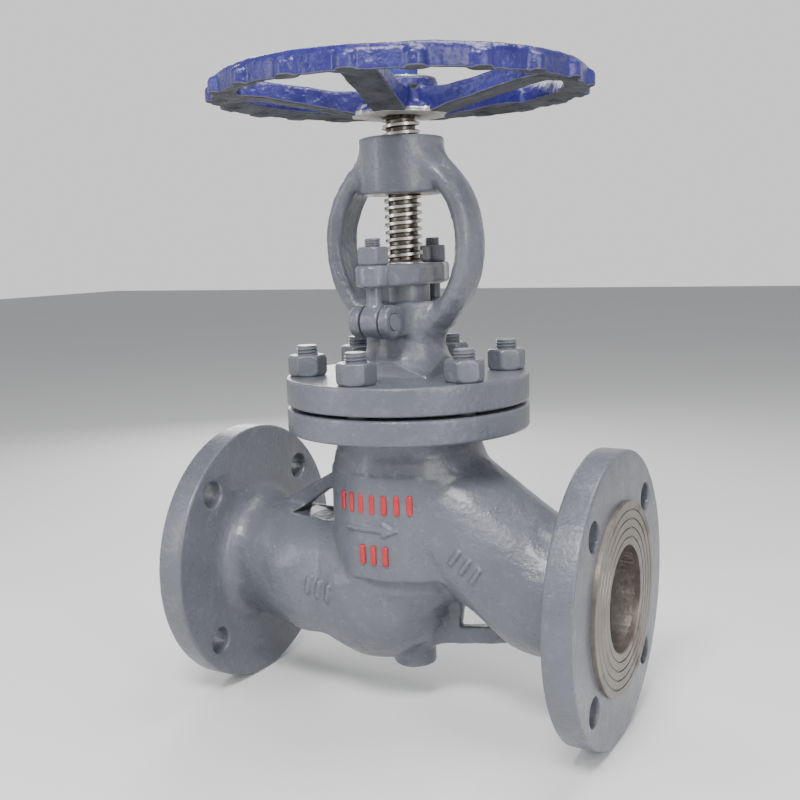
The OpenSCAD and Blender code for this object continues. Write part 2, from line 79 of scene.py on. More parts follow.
BODY_LOW, BODY_HIGH = mm("body")
GLAND_LOW, GLAND_HIGH = mm("gland_flange")
STEM_LOW, STEM_HIGH = mm("stem")
SHIFT = (BODY_LOW[0] + BODY_HIGH[0]) / 2
HALF = (BODY_HIGH[0] - BODY_LOW[0]) / 2
JOINT_Z = BODY_HIGH[2]
FLANGE_R = (BODY_HIGH[1] - BODY_LOW[1]) / 2
GASKET_TOP = mm("bonnet_gasket")[1][2]
COVER_T = 17.5
BONNET_TOP = GASKET_TOP + COVER_T
TOP_R = 78.5
BORE_R = 32.5
RAISED, FLANGE_T = 3.0, 18.0
FLANGE_BACK = HALF - RAISED - FLANGE_T
BOLT_R, HOLE_R, BOLTS = 72.5, 9.0, 4
STUD_R, STUD_HOLE_R, STUDS = 64.5, 7.5, 6
PIN_HOLE_R = 5.1
YOKE_NUT_R, SCREW_HOLE_R, SCREW_DEPTH = 17.5, 3.05, 8.0
HUB_LOW, HUB_HIGH = mm("yoke_nut")[0][2], mm("yoke_nut")[1][2]
STEM_R = 12.0
PIN_Z = (mm("eye_bolt_pin_near")[0][2] + mm("eye_bolt_pin_near")[1][2]) / 2
EYE_Y = (mm("gland_nut_far")[0][1] + mm("gland_nut_far")[1][1]) / 2
WHEEL_Z = mm("handwheel")[0][2]
HUB_TOP = mm("handwheel_plate")[0][2]
SPOKE_ANGLE = -3.5


# --- Solid shapes by distance, for castings whose faces run into each other ---


class Casting:
    """A solid built on a grid of distances, in millimetres about the stem's axis."""

    def __init__(self, low, high, cell):
        self.cell = cell
        self.low = np.array(low, float) - 3 * cell
        self.count = np.ceil((np.array(high, float) + 3 * cell - self.low) / cell).astype(int) + 1
        self.field = np.full(self.count, 50.0, np.float32)

    def window(self, low, high, margin):
        """The grid's slice for a box, and its points as three arrays that broadcast."""
        a = np.floor((np.array(low) - margin - self.low) / self.cell)
        b = np.ceil((np.array(high) + margin - self.low) / self.cell) + 1
        a = np.clip(a, 0, self.count - 1).astype(int)
        b = np.clip(b, 1, self.count).astype(int)
        axes = [self.low[i] + self.cell * np.arange(a[i], b[i]) for i in range(3)]
        x, y, z = axes[0][:, None, None], axes[1][None, :, None], axes[2][None, None, :]
        return tuple(slice(a[i], b[i]) for i in range(3)), x, y, z

    def add(self, shape, low, high, blend=0.0):
        """Adds a shape that lies within a box, with a fillet of about blend."""
        part, x, y, z = self.window(low, high, blend + 2 * self.cell)
        old, new = self.field[part], shape(x, y, z)
        self.field[part] = soft_min(old, new, blend)

    def cut(self, shape, low, high, blend=0.0):
        """Takes a shape that lies within a box away, with a round of about blend."""
        part, x, y, z = self.window(low, high, blend + 2 * self.cell)
        old, new = self.field[part], shape(x, y, z)
        self.field[part] = -soft_min(-old, new, blend)

    def wave(self, size, depth, seed):
        """A slow waviness of the surface, as a sand mould leaves."""
        part, x, y, z = self.window(self.low, self.low + self.cell * self.count, 0)
        rng = np.random.default_rng(seed)
        total = 0.0
        for _ in range(6):
            k = rng.normal(size=3)
            k *= 2 * math.pi / (size * rng.uniform(0.7, 1.5) * np.linalg.norm(k))
            total = total + np.sin(k[0] * x + k[1] * y + k[2] * z + rng.uniform(0, 6.3))
        self.field += (depth / 2.4 * total).astype(np.float32)

    def emboss(self, mark, low, high, height):
        """Raises the surface by height inside a mark's outline, with sloping sides."""
        part, x, y, z = self.window(low, high, 0)
        inside = np.clip(0.5 - mark(x, y, z) / 1.3, 0, 1)
        self.field[part] -= (height * inside * inside * (3 - 2 * inside)).astype(np.float32)

    def mesh(self, name, triangles):
        """The surface as a new object, thinned to a number of triangles, with its faces outward."""
        grid = openvdb.FloatGrid(50.0)
        grid.copyFromArray(np.clip(self.field, -4 * self.cell, 4 * self.cell).astype(np.float32))
        points, quads = grid.convertToQuads(isovalue=0.0)
        points = points * self.cell + self.low
        points[:, 0] += SHIFT
        data = bpy.data.meshes.new(name)
        data.from_pydata((points * MM).tolist(), [], quads[:, ::-1].tolist())
        data.update()
        piece = bpy.data.objects.new(name, data)
        bpy.context.scene.collection.objects.link(piece)
        if len(quads) * 2 > triangles:
            thin = piece.modifiers.new("thin", "DECIMATE")
            thin.ratio = triangles / (len(quads) * 2)
            apply_modifiers(piece)
        volume = sum(outward(piece.data))
        if volume < 0:
            piece.data.flip_normals()
        return piece


def outward(data):
    """Six times the signed volume of each triangle of a mesh."""
    data.calc_loop_triangles()
    co = np.zeros(len(data.vertices) * 3, np.float64)
    data.vertices.foreach_get("co", co)
    co = co.reshape(-1, 3)
    tri = np.zeros(len(data.loop_triangles) * 3, np.int32)
    data.loop_triangles.foreach_get("vertices", tri)
    a, b, c = co[tri.reshape(-1, 3)].transpose(1, 0, 2)
    return np.einsum("ij,ij->i", a, np.cross(b, c)).tolist()


def soft_min(a, b, k):
    """The union of two distances, with a fillet of about radius k."""
    if k <= 0:
        return np.minimum(a, b).astype(np.float32)
    h = np.maximum(k - np.abs(a - b), 0) / k
    return (np.minimum(a, b) - h * h * k / 4).astype(np.float32)


def ball(c, r):
    """A ball of radius r about c."""
    return lambda x, y, z: np.sqrt((x - c[0]) ** 2 + (y - c[1]) ** 2 + (z - c[2]) ** 2) - r


def cone(a, b, ra, rb):
    """A bar with round ends from a to b, tapering from ra to rb."""
    a, b = np.array(a, float), np.array(b, float)
    d = b - a
    n = float(d @ d)

    def f(x, y, z):
        t = np.clip(((x - a[0]) * d[0] + (y - a[1]) * d[1] + (z - a[2]) * d[2]) / n, 0, 1)
        across = [q - p - t * e for q, p, e in zip((x, y, z), a, d)]
        return np.sqrt(across[0] ** 2 + across[1] ** 2 + across[2] ** 2) - (ra + (rb - ra) * t)
    return f


def box2(u, v, hu, hv, r):
    """Distance to a rectangle in (u, v) with corners rounded by r."""
    du, dv = np.abs(u) - (hu - r), np.abs(v) - (hv - r)
    return np.minimum(np.maximum(du, dv), 0) + np.sqrt(np.maximum(du, 0) ** 2 + np.maximum(dv, 0) ** 2) - r


def drum_z(c, r, z0, z1, edge):
    """An upright drum about (c x, c y) with rounded edges."""
    mid, half = (z0 + z1) / 2, (z1 - z0) / 2
    return lambda x, y, z: box2(np.sqrt((x - c[0]) ** 2 + (y - c[1]) ** 2), z - mid, r, half, edge)


def drum_x(c, r, x0, x1, edge):
    """A drum along X about (c y, c z) with rounded edges."""
    mid, half = (x0 + x1) / 2, (x1 - x0) / 2
    return lambda x, y, z: box2(np.sqrt((y - c[0]) ** 2 + (z - c[1]) ** 2), x - mid, r, half, edge)


def drum_y(c, r, y0, y1, edge):
    """A drum along Y about (c x, c z) with rounded edges."""
    mid, half = (y0 + y1) / 2, (y1 - y0) / 2
    return lambda x, y, z: box2(np.sqrt((x - c[0]) ** 2 + (z - c[1]) ** 2), y - mid, r, half, edge)


def brick(low, high, r):
    """A box from low to high with its edges rounded by r."""
    mid, half = (np.array(low) + high) / 2, (np.array(high) - low) / 2

    def f(x, y, z):
        d = [np.abs(q - m) - (h - r) for q, m, h in zip((x, y, z), mid, half)]
        out = np.sqrt(sum(np.maximum(q, 0) ** 2 for q in d))
        return np.minimum(np.maximum(np.maximum(d[0], d[1]), d[2]), 0) + out - r
    return f


def outline(points, u, v):
    """Signed distance in a plane to a closed outline given counter-clockwise or clockwise."""
    p = np.array(points, float)
    shape = np.broadcast(u, v).shape
    best = np.full(shape, 1e9)
    sign = np.ones(shape)
    for i in range(len(p)):
        a, b = p[i - 1], p[i]
        e = b - a
        wu, wv = u - a[0], v - a[1]
        t = np.clip((wu * e[0] + wv * e[1]) / (e @ e), 0, 1)
        best = np.minimum(best, (wu - t * e[0]) ** 2 + (wv - t * e[1]) ** 2)
        c1, c2 = v >= a[1], v < b[1]
        c3 = e[0] * wv > e[1] * wu
        flip = (c1 & c2 & c3) | (~c1 & ~c2 & ~c3)
        sign = np.where(flip, -sign, sign)
    return sign * np.sqrt(best)


def plate(flat, across, half, edge):
    """A plate half thick each side of its middle, from its outline's distance, with rounded edges."""
    u, v = flat + edge, np.abs(across) - (half - edge)
    return np.minimum(np.maximum(u, v), 0) + np.sqrt(np.maximum(u, 0) ** 2 + np.maximum(v, 0) ** 2) - edge


def plate_y(points, half, edge):
    """A plate in the XZ plane, half thick each side of y = 0."""
    return lambda x, y, z: plate(outline(points, x, z), y, half, edge)


def lathe_z(points, edge):
    """A turned solid about the stem's axis, from an outline of (radius, height)."""
    return lambda x, y, z: outline(points, np.sqrt(x ** 2 + y ** 2), z + 0 * x + 0 * y) - edge


def select(piece):
    """Makes a piece the only one selected."""
    for o in bpy.context.selected_objects:
        o.select_set(False)
    bpy.context.view_layer.objects.active = piece
    piece.select_set(True)


def apply_modifiers(piece):
    """Bakes a piece's modifiers into its mesh."""
    select(piece)
    for m in list(piece.modifiers):
        bpy.ops.object.modifier_apply(modifier=m.name)


def finish_piece(piece, body, material, smooth=40, replaces=()):
    """Gives a piece its smoothing, material, moving body, slot and the CAD nodes it replaces."""
    select(piece)
    bpy.ops.object.shade_smooth_by_angle(angle=math.radians(smooth))
    for m in [material] if not isinstance(material, (list, tuple)) else material:
        piece.data.materials.append(m)
    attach(piece, body)
    if replaces:
        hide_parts(*replaces)
    return piece


# --- Materials ---


class Shade:
    """A node tree with one principled shader and short calls to build it."""

    def __init__(self, name):
        self.mat = bpy.data.materials.new(name)
        self.mat.use_nodes = True
        self.tree = self.mat.node_tree
        self.tree.nodes.clear()
        self.out = self.tree.nodes.new("ShaderNodeOutputMaterial")
        self.skin = self.tree.nodes.new("ShaderNodeBsdfPrincipled")
        self.link(self.skin.outputs[0], self.out.inputs[0])
        self.where = self.tree.nodes.new("ShaderNodeTexCoord").outputs["Object"]

    def link(self, a, b):
        """Joins two sockets."""
        self.tree.links.new(a, b)

    def put(self, node, socket, value):
        """Sets an input to a constant, or links it to a socket."""
        if isinstance(value, bpy.types.NodeSocket):
            self.link(value, node.inputs[socket])
        elif value is not None:
            node.inputs[socket].default_value = value

    def noise(self, scale, detail=3, rough=0.5):
        """Fractal noise, from 0 to 1."""
        n = self.tree.nodes.new("ShaderNodeTexNoise")
        for socket, v in (("Vector", self.where), ("Scale", scale), ("Detail", detail), ("Roughness", rough)):
            self.put(n, socket, v)
        return n.outputs["Fac"]

    def cells(self, scale):
        """The distance to the nearest of scattered points."""
        n = self.tree.nodes.new("ShaderNodeTexVoronoi")
        self.put(n, "Vector", self.where)
        self.put(n, "Scale", scale)
        return n.outputs["Distance"]

    def ramp(self, value, stops):
        """A colour read off a list of (place, colour)."""
        n = self.tree.nodes.new("ShaderNodeValToRGB")
        self.put(n, "Fac", value)
        while len(n.color_ramp.elements) < len(stops):
            n.color_ramp.elements.new(0.5)
        for e, (at, c) in zip(n.color_ramp.elements, stops):
            e.position = at
            e.color = (*c, 1) if len(c) == 3 else c
        return n.outputs["Color"]

    def spread(self, value, low, high, a=0.0, b=1.0):
        """Maps low to a and high to b, and stops there."""
        n = self.tree.nodes.new("ShaderNodeMapRange")
        self.put(n, "Value", value)
        for socket, v in (("From Min", low), ("From Max", high), ("To Min", a), ("To Max", b)):
            self.put(n, socket, v)
        return n.outputs["Result"]

    def math(self, kind, a, b=None):
        """One sum on values or sockets."""
        n = self.tree.nodes.new("ShaderNodeMath")
        n.operation = kind
        self.put(n, 0, a)
        self.put(n, 1, b)
        return n.outputs[0]

    def mix(self, share, a, b):
        """Colour a turned into colour b by share."""
        n = self.tree.nodes.new("ShaderNodeMix")
        n.data_type = "RGBA"
        self.put(n, "Factor", share)
        for socket, v in ((6, a), (7, b)):
            if isinstance(v, bpy.types.NodeSocket):
                self.link(v, n.inputs[socket])
            else:
                n.inputs[socket].default_value = (*v, 1)
        return n.outputs[2]

    def bump(self, height, depth, before=None):
        """A normal with a relief of a depth in metres."""
        n = self.tree.nodes.new("ShaderNodeBump")
        self.put(n, "Height", height)
        n.inputs["Distance"].default_value = depth
        n.inputs["Strength"].default_value = 1.0
        if before is not None:
            self.link(before, n.inputs["Normal"])
        return n.outputs[0]

    def axis(self, name):
        """The object's X, Y or Z in metres."""
        n = self.tree.nodes.new("ShaderNodeSeparateXYZ")
        self.link(self.where, n.inputs[0])
        return n.outputs[name]

    def facing(self, name):
        """One part of the surface's normal."""
        g = self.tree.nodes.new("ShaderNodeNewGeometry")
        n = self.tree.nodes.new("ShaderNodeSeparateXYZ")
        self.link(g.outputs["Normal"], n.inputs[0])
        return n.outputs[name]

    def edge(self):
        """About 0.5 on a flat, more on an edge and less in a hollow."""
        g = self.tree.nodes.new("ShaderNodeNewGeometry")
        return g.outputs["Pointiness"]

    def set(self, **values):
        """Sets the shader's inputs, and gives the finished material."""
        for name, v in values.items():
            self.put(self.skin, name.replace("_", " "), v)
        return self.mat


def enamel(name, base, dark, light, grain=1.0):
    """Glossy paint over a sand casting: colour drift, orange peel and pits, with painted shade in hollows and
    a painted highlight on sharp edges.
    """
    s = Shade(name)
    drift = s.noise(14, 3, 0.6)
    colour = s.mix(s.spread(drift, 0.35, 0.65), dark, base)
    fine = s.noise(220, 2, 0.6)
    colour = s.mix(s.math("MULTIPLY", s.spread(fine, 0.55, 0.8), 0.35), colour, light)
    # painted shade: the paint is darkened in hollows and creases, where shade falls
    hollow = s.spread(s.edge(), 0.5, 0.44)
    colour = s.mix(s.math("MULTIPLY", hollow, 0.35), colour, tuple(c * 0.55 for c in dark))
    # painted highlight: the paint is lightened on sharp edges, where light catches them
    edge_highlight = s.spread(s.edge(), 0.54, 0.62)
    colour = s.mix(s.math("MULTIPLY", edge_highlight, 0.3), colour, light)
    cast = s.noise(330, 4, 0.62)
    peel = s.noise(900, 2, 0.5)
    pits = s.spread(s.cells(240), 0.16, 0.02)
    spotty = s.math("MULTIPLY", pits, s.spread(s.noise(40, 2), 0.5, 0.62))
    n = s.bump(cast, 0.00055 * grain)
    n = s.bump(peel, 0.00010 * grain, n)
    n = s.bump(s.math("SUBTRACT", 1.0, spotty), 0.00025 * grain, n)
    rough = s.spread(s.noise(60, 4, 0.6), 0.3, 0.7, 0.24, 0.42)
    return s.set(Base_Color=colour, Roughness=rough, Normal=n, Specular_IOR_Level=0.5,
                 Coat_Weight=0.18, Coat_Roughness=0.14)


def turned(name, base, dark, ring_mm, centre):
    """Machined metal with fine rings about an upright axis, stains and small scratches."""
    s = Shade(name)
    stained = s.noise(45, 5, 0.65)
    colour = s.mix(s.spread(stained, 0.38, 0.66), base, dark)
    du = s.math("SUBTRACT", s.axis("X"), centre[0])
    dv = s.math("SUBTRACT", s.axis("Y"), centre[1])
    r = s.math("SQRT", s.math("ADD", s.math("MULTIPLY", du, du), s.math("MULTIPLY", dv, dv)))
    along = s.math("ADD", r, s.axis("Z"))
    rings = s.math("SINE", s.math("MULTIPLY", along, 2 * math.pi * 1000 / ring_mm))
    n = s.bump(rings, 0.00003)
    n = s.bump(s.noise(700, 3, 0.7), 0.00006, n)
    rough = s.spread(s.noise(90, 4), 0.3, 0.7, 0.22, 0.4)
    return s.set(Base_Color=colour, Metallic=1.0, Roughness=rough, Normal=n)


STEM_AXIS = (SHIFT * MM, 0)
GREY = enamel("grey_enamel", (0.112, 0.118, 0.140), (0.086, 0.091, 0.110), (0.21, 0.22, 0.245))
GREY_SMOOTH = enamel("grey_enamel_on_steel", (0.122, 0.128, 0.150), (0.090, 0.095, 0.114),
                     (0.26, 0.27, 0.30), 0.45)
RED = enamel("red_enamel", (0.42, 0.012, 0.022), (0.30, 0.010, 0.018), (0.5, 0.07, 0.07), 0.7)
STEEL = turned("turned_steel", (0.52, 0.51, 0.49), (0.30, 0.28, 0.25), 0.25, STEM_AXIS)
BRONZE = turned("turned_bronze", (0.62, 0.43, 0.20), (0.34, 0.2, 0.09), 0.3, STEM_AXIS)

# --- Body casting ---

CELL = 1.05
INLET_MID, BOWL = (-72, 0, -7.5), (-20, 0, -12)
INLET_LOW, INLET_BOWL, INLET_BOWL_R = (-50, 0, -13), (-15, 0, -13), 37.5
BARREL_R, BARREL_Z = 51.0, 8.0
OUT_HIGH, OUT_LOW = (0, 0, 62), (95, 0, 0)
BOSS_Z = -63.0
NECK_Z = 78
SEAT_FLOOR = mm("seat_ring")[0][2]

cast = Casting((-HALF, -FLANGE_R, -FLANGE_R), (HALF, FLANGE_R, JOINT_Z), CELL)
cast.add(lathe_z([(0, -17), (35, -14), (40, -8.5), (43.5, -2.5), (44.5, 5), (44.5, 12), (0, 12)], 1.0),
         (-48, -48, -19), (48, 48, 14))
cast.add(ball(BOWL, 47), (-68, -48, -60), (28, 48, 36), 8)
cast.add(cone(BOWL, INLET_MID, 44.5, 41.7), (-116, -48, -60), (28, 48, 36), 12)
cast.add(cone(INLET_MID, (-FLANGE_BACK - 3, 0, 0), 41.7, 40.5), (-HALF, -43, -52), (-28, 43, 42), 8)
cast.add(drum_z((0, 0), BARREL_R, BARREL_Z - 1, NECK_Z - 4, 2.0),
         (-52, -52, BARREL_Z - 1), (52, 52, NECK_Z - 4), 1.5)
cast.add(lathe_z([(0, 60), (46, 60), (48.4, 70), (48.4, 74), (46.6, 80), (0, 80)], 0.8),
         (-50, -50, 58), (50, 50, 82), 1.2)
cast.add(cone(OUT_HIGH, OUT_LOW, 43.5, 40.7), (-45, -45, -45), (138, 45, 107), 4)
cast.add(cone(OUT_LOW, (FLANGE_BACK + 3, 0, 0), 40.7, 40.5), (52, -43, -43), (HALF, 43, 43), 6)
cast.add(plate_y([(0, -52), (17.5, -47.5), (64, -40.5), (90, -36), (75, -15), (20, 0), (0, -20)], 4, 1.5),
         (0, -5, -55), (92, 5, 5), 7)
cast.add(plate_y([(-112, 28), (-108, 34.5), (-45, 71), (-45, 20)], 4, 1.5), (-113, -5, 18), (-44, 5, 72), 7)
cast.add(drum_z((0, 0), 14, BOSS_Z, -30, 1.2), (-15, -15, BOSS_Z), (15, 15, -30), 3)
cast.wave(26, 0.35, 7)
cast.wave(9, 0.10, 11)


def turned_by(degrees, u, v):
    """A plane's axes turned by an angle."""
    c, s = math.cos(math.radians(degrees)), math.sin(math.radians(degrees))
    return u * c + v * s, v * c - u * s


def bars(rows):
    """Signed distance in a plane to rounded bars: (centre u, centre v, half width, half height)."""
    def f(u, v):
        best = 1e3
        for cu, cv, hu, hv in rows:
            best = np.minimum(best, box2(u - cu, v - cv, hu, hv, min(hu, hv) * 0.8))
        return best
    return f


def arrow(u, v):
    """A flow arrow 38 long, pointing along u."""
    shaft = box2(u + 6, v, 14, 1.5, 1.2)
    head = outline([(7, 5.2), (18, 0), (7, -5.2)], u, v)
    return np.minimum(shaft, head)


def round_barrel(flat):
    """Lays a flat mark on the barrel's -Y side."""
    return lambda x, y, z: flat(np.arctan2(x, -y) * BARREL_R, z + 0 * x + 0 * y)


def along(flat, u0, v0, degrees):
    """Lays a flat mark on a branch's -Y side, turned in the XZ plane about (u0, v0)."""
    def f(x, y, z):
        u, v = turned_by(degrees, x - u0, z - v0)
        return flat(u + 0 * y, v + 0 * y)
    return f


three_bars = bars([(-8.5, 0, 1.7, 6.2), (0, 0, 1.7, 6.2), (8.5, 0, 1.7, 6.2)])
cast.emboss(round_barrel(lambda u, v: arrow(u + 1, v - 40.5)), (-24, -54, 34), (24, -40, 47), 2.1)
cast.emboss(along(three_bars, -47, -6, -8), (-62, -60, -16), (-32, -20, 4), 2.0)
cast.emboss(along(three_bars, 58, 21, -36), (42, -60, 6), (76, -20, 38), 2.0)
cast.add(drum_z((0, 0), 47.5, 40, JOINT_Z, 1), (-48, -48, 40), (48, 48, JOINT_Z), 7)
cast.add(drum_z((0, 0), TOP_R, JOINT_Z - 15.5, JOINT_Z, 1.3),
         (-TOP_R, -TOP_R, JOINT_Z - 16), (TOP_R, TOP_R, JOINT_Z), 9)
for side in (-1, 1):
    x0, x1 = sorted((side * FLANGE_BACK, side * (HALF - RAISED)))
    cast.add(drum_x((0, 0), FLANGE_R, x0, x1, 1.3), (x0, -FLANGE_R, -FLANGE_R), (x1, FLANGE_R, FLANGE_R), 15)
cast.cut(plate_y([(35, -33.5), (62, -29), (60, -26.5), (40.5, -15.5), (37.5, -16.5)], 14, 1.5),
         (33, -14, -35), (64, 14, -14), 2)
cast.cut(plate_y([(-86, 33.5), (-62, 50.5), (-57, 51), (-55.5, 48), (-55.5, 26), (-75, 32)], 14, 1.5),
         (-88, -14, 24), (-54, 14, 53), 2)


def inlet_bowl(x, y, z):
    """The passage from the inlet to the bowl under the seat, less the wall that holds the seat."""
    slope = cone((-104, 0, 0), INLET_LOW, BORE_R, BORE_R)(x, y, z)
    hollow = soft_min(slope, ball(INLET_BOWL, INLET_BOWL_R)(x, y, z), 6)
    bridge = np.maximum(np.sqrt(x ** 2 + y ** 2) - 51.5, (SEAT_FLOOR - 1) - z)
    return np.maximum(hollow, -bridge)


def outlet_slope(x, y, z):
    """The passage from the chamber over the seat down to the outlet."""
    slope = cone(OUT_HIGH, OUT_LOW, BORE_R, BORE_R)(x, y, z)
    floor = np.maximum(np.sqrt(x ** 2 + y ** 2) - 44, z - 14)
    return np.maximum(slope, -floor)


cast.cut(inlet_bowl, (-140, -39, -52), (26, 39, 40), 2)
cast.cut(drum_x((0, 0), BORE_R, -HALF - 9, -103, 0.2), (-HALF - 9, -33, -33), (-103, 33, 33), 2)
cast.cut(ball((-4, 0, -4), 26), (-30, -27, -30), (22, 27, 22), 2)
cast.cut(drum_z((0, 0), 31, -9, 25, 0.2), (-31, -31, -9), (31, 31, 25), 0)
cast.cut(drum_z((0, 0), 39, SEAT_FLOOR, 30, 0.2), (-40, -40, 5), (40, 40, 30), 0)
cast.cut(drum_z((0, 0), 43.5, 14, 74, 3), (-44, -44, 13), (44, 44, 75), 1)
cast.cut(outlet_slope, (-33, -33, -33), (128, 33, 96), 3)
cast.cut(drum_x((0, 0), BORE_R, 94, HALF + 9, 0.2), (93, -33, -33), (HALF + 9, 33, 33), 2)
cast.cut(drum_z((0, 0), 40, 60, JOINT_Z + 9, 0.2), (-40, -40, 60), (40, 40, JOINT_Z + 9), 0)
for k in range(STUDS):
    a = math.radians(30 + 360 / STUDS * k)
    c = (STUD_R * math.cos(a), STUD_R * math.sin(a))
    cast.cut(drum_z(c, 7.05, JOINT_Z - 13.5, JOINT_Z + 9, 0.2),
             (c[0] - 8, c[1] - 8, JOINT_Z - 14), (c[0] + 8, c[1] + 8, JOINT_Z + 9), 0.4)
for side in (-1, 1):
    for k in range(BOLTS):
        a = math.radians(45 + 360 / BOLTS * k)
        c = (BOLT_R * math.cos(a), BOLT_R * math.sin(a))
        x0, x1 = sorted((side * (FLANGE_BACK - 4), side * (HALF + 4)))
        cast.cut(drum_x(c, HOLE_R, x0, x1, 0.2), (x0, c[0] - 10, c[1] - 10), (x1, c[0] + 10, c[1] + 10), 0.9)
for side in (-1, 1):
    x0, x1 = sorted((side * (HALF - RAISED), side * (HALF + 60)))
    cast.cut(lambda x, y, z, side=side: (HALF - RAISED) - side * x + 0 * y + 0 * z,
             (x0, -99, -99), (x1, 99, 99), 0)
body = cast.mesh("body_casting", 185000)
del cast


# --- Turned pieces ---


def new_piece(name, bm):
    """A new object from an edited mesh."""
    data = bpy.data.meshes.new(name)
    bm.to_mesh(data)
    bm.free()
    piece = bpy.data.objects.new(name, data)
    bpy.context.scene.collection.objects.link(piece)
    return piece


def turned_piece(name, points, axis="Z", steps=128, bevel=0.0):
    """A solid turned from an outline of (radius, height) about the stem's or the pipe's axis."""
    bm = bmesh.new()
    rows = []
    for k in range(steps):
        a = 2 * math.pi * k / steps
        ring = []
        for r, h in points:
            u, v = r * math.cos(a), r * math.sin(a)
            p = (u, v, h) if axis == "Z" else (h, u, v)
            ring.append(bm.verts.new(((p[0] + SHIFT) * MM, p[1] * MM, p[2] * MM)))
        rows.append(ring)
    n = len(points)
    for k in range(steps):
        for i in range(n):
            j = (i + 1) % n
            corners = [rows[k][i], rows[(k + 1) % steps][i], rows[(k + 1) % steps][j], rows[k][j]]
            bm.faces.new(corners)
    bmesh.ops.remove_doubles(bm, verts=bm.verts, dist=1e-7)
    bmesh.ops.recalc_face_normals(bm, faces=bm.faces)
    piece = new_piece(name, bm)
    if bevel:
        b = piece.modifiers.new("edges", "BEVEL")
        b.width, b.segments, b.limit_method, b.angle_limit = bevel * MM, 2, "ANGLE", math.radians(35)
        apply_modifiers(piece)
    return piece


def seal_outline(side):
    """A raised face with four concentric grooves; its face looks along side."""
    face, back = HALF, HALF - RAISED - 1.5
    points = [(BORE_R, back), (59, back), (59, face - 0.3), (58.7, face)]
    for i in range(4, 0, -1):
        r = BORE_R + 5.5 * i
        points += [(r, face), (r - 0.25, face - 0.7), (r - 0.95, face - 0.7), (r - 1.2, face)]
    points += [(BORE_R + 0.6, face), (BORE_R, face - 0.6)]
    return [(r, side * h) for r, h in points]


seals = [turned_piece(f"seal_face_{name}", seal_outline(side), "X", 160)
         for name, side in (("inlet", -1), ("outlet", 1))]


# --- Threads and nuts ---


def threaded(name, r, pitch, z0, z1, depth, at=(0, 0), steps=40, flat=0.3, dome=0.6):
    """A rod with a true helical thread from z0 to z1. Its rows follow the helix, so the crests are clean."""
    root = r - depth
    shape = [(0.0, r), (flat, r), (0.5, root), (0.5 + flat, root)]
    per = len(shape)
    turns = int(math.ceil((z1 - z0) / pitch)) + 2
    bm = bmesh.new()
    rows = []
    for j in range(per * turns + 1):
        base = z0 - pitch + (j // per) * pitch + shape[j % per][0] * pitch
        line = []
        for i in range(steps):
            z = base + pitch * i / steps
            rr = shape[j % per][1]
            if z <= z0 or z >= z1:
                rr, z = root, min(max(z, z0), z1)
            elif z > z1 - dome * pitch:
                rr = min(rr, root + (r - root) * (z1 - z) / (dome * pitch))
            elif z < z0 + dome * pitch:
                rr = min(rr, root + (r - root) * (z - z0) / (dome * pitch))
            a = 2 * math.pi * i / steps
            x, y = at[0] + rr * math.cos(a) + SHIFT, at[1] + rr * math.sin(a)
            line.append(bm.verts.new((x * MM, y * MM, z * MM)))
        rows.append(line)
    for j in range(len(rows) - 1):
        for i in range(steps):
            if i < steps - 1:
                corners = [rows[j][i], rows[j][i + 1], rows[j + 1][i + 1], rows[j + 1][i]]
            elif j + 1 + per < len(rows):
                corners = [rows[j][i], rows[j + per][0], rows[j + 1 + per][0], rows[j + 1][i]]
            else:
                continue
            bm.faces.new(corners)
    bmesh.ops.remove_doubles(bm, verts=bm.verts, dist=2e-6)
    bmesh.ops.dissolve_degenerate(bm, edges=bm.edges, dist=1e-7)
    open_edges = [e for e in bm.edges if len(e.link_faces) == 1]
    bmesh.ops.holes_fill(bm, edges=open_edges)
    bmesh.ops.recalc_face_normals(bm, faces=bm.faces)
    return new_piece(name, bm)


def hexagon(af, h, bore, soft=0.9):
    """A nut's distance, standing on z = 0, with chamfered and paint-rounded corners."""
    corner = af / math.sqrt(3)

    def f(x, y, z):
        sides = [np.abs(x * math.cos(a) + y * math.sin(a)) - af / 2
                 for a in (math.pi / 6, math.pi / 2, 5 * math.pi / 6)]
        side = -soft_min(-sides[0], soft_min(-sides[1], -sides[2], soft), soft)
        r = np.sqrt(x ** 2 + y ** 2)
        slope = (h / 7) / (corner - af / 2)
        size = math.hypot(1, slope)
        top = ((z - h) + slope * (r - af / 2)) / size
        low = (-z + slope * (r - af / 2)) / size
        body = -soft_min(-side, soft_min(-top, -low, 0.3), 0.8)
        body = -soft_min(-body, soft_min(-(z - h), z + 0 * body, 0.2), 0.5)
        return -soft_min(-body, r - bore, 0.5)
    return f


def nut(name, af, h, bore, places, cell=0.5):
    """One nut mesh, set at each place (x, y, z, turn in degrees) and joined into one piece."""
    small = Casting((-af * 0.6, -af * 0.6, 0), (af * 0.6, af * 0.6, h), cell * (1))
    small.add(hexagon(af, h, bore), (-af, -af, -1), (af, af, h + 1))
    one = small.mesh(name, 9000)
    one.data.transform(Matrix.Translation((-SHIFT * MM, 0, 0)))
    data = bpy.data.meshes.new(name)
    bm = bmesh.new()
    for x, y, z, turn in places:
        other = one.data.copy()
        place = Matrix.Translation(((x + SHIFT) * MM, y * MM, z * MM))
        other.transform(place @ Matrix.Rotation(math.radians(turn), 4, "Z"))
        bm.from_mesh(other)
        bpy.data.meshes.remove(other)
    bm.to_mesh(data)
    bm.free()
    one.data = data
    return one


def join(name, parts):
    """Several meshes as one piece."""
    bm = bmesh.new()
    for p in parts:
        bm.from_mesh(p.data)
        bpy.data.objects.remove(p)
    return new_piece(name, bm)


def union(base, others):
    """Merges closed meshes into one closed mesh."""
    for o in others:
        m = base.modifiers.new("join", "BOOLEAN")
        m.operation, m.solver, m.object = "UNION", "EXACT", o
        apply_modifiers(base)
        bpy.data.objects.remove(o)
    return base


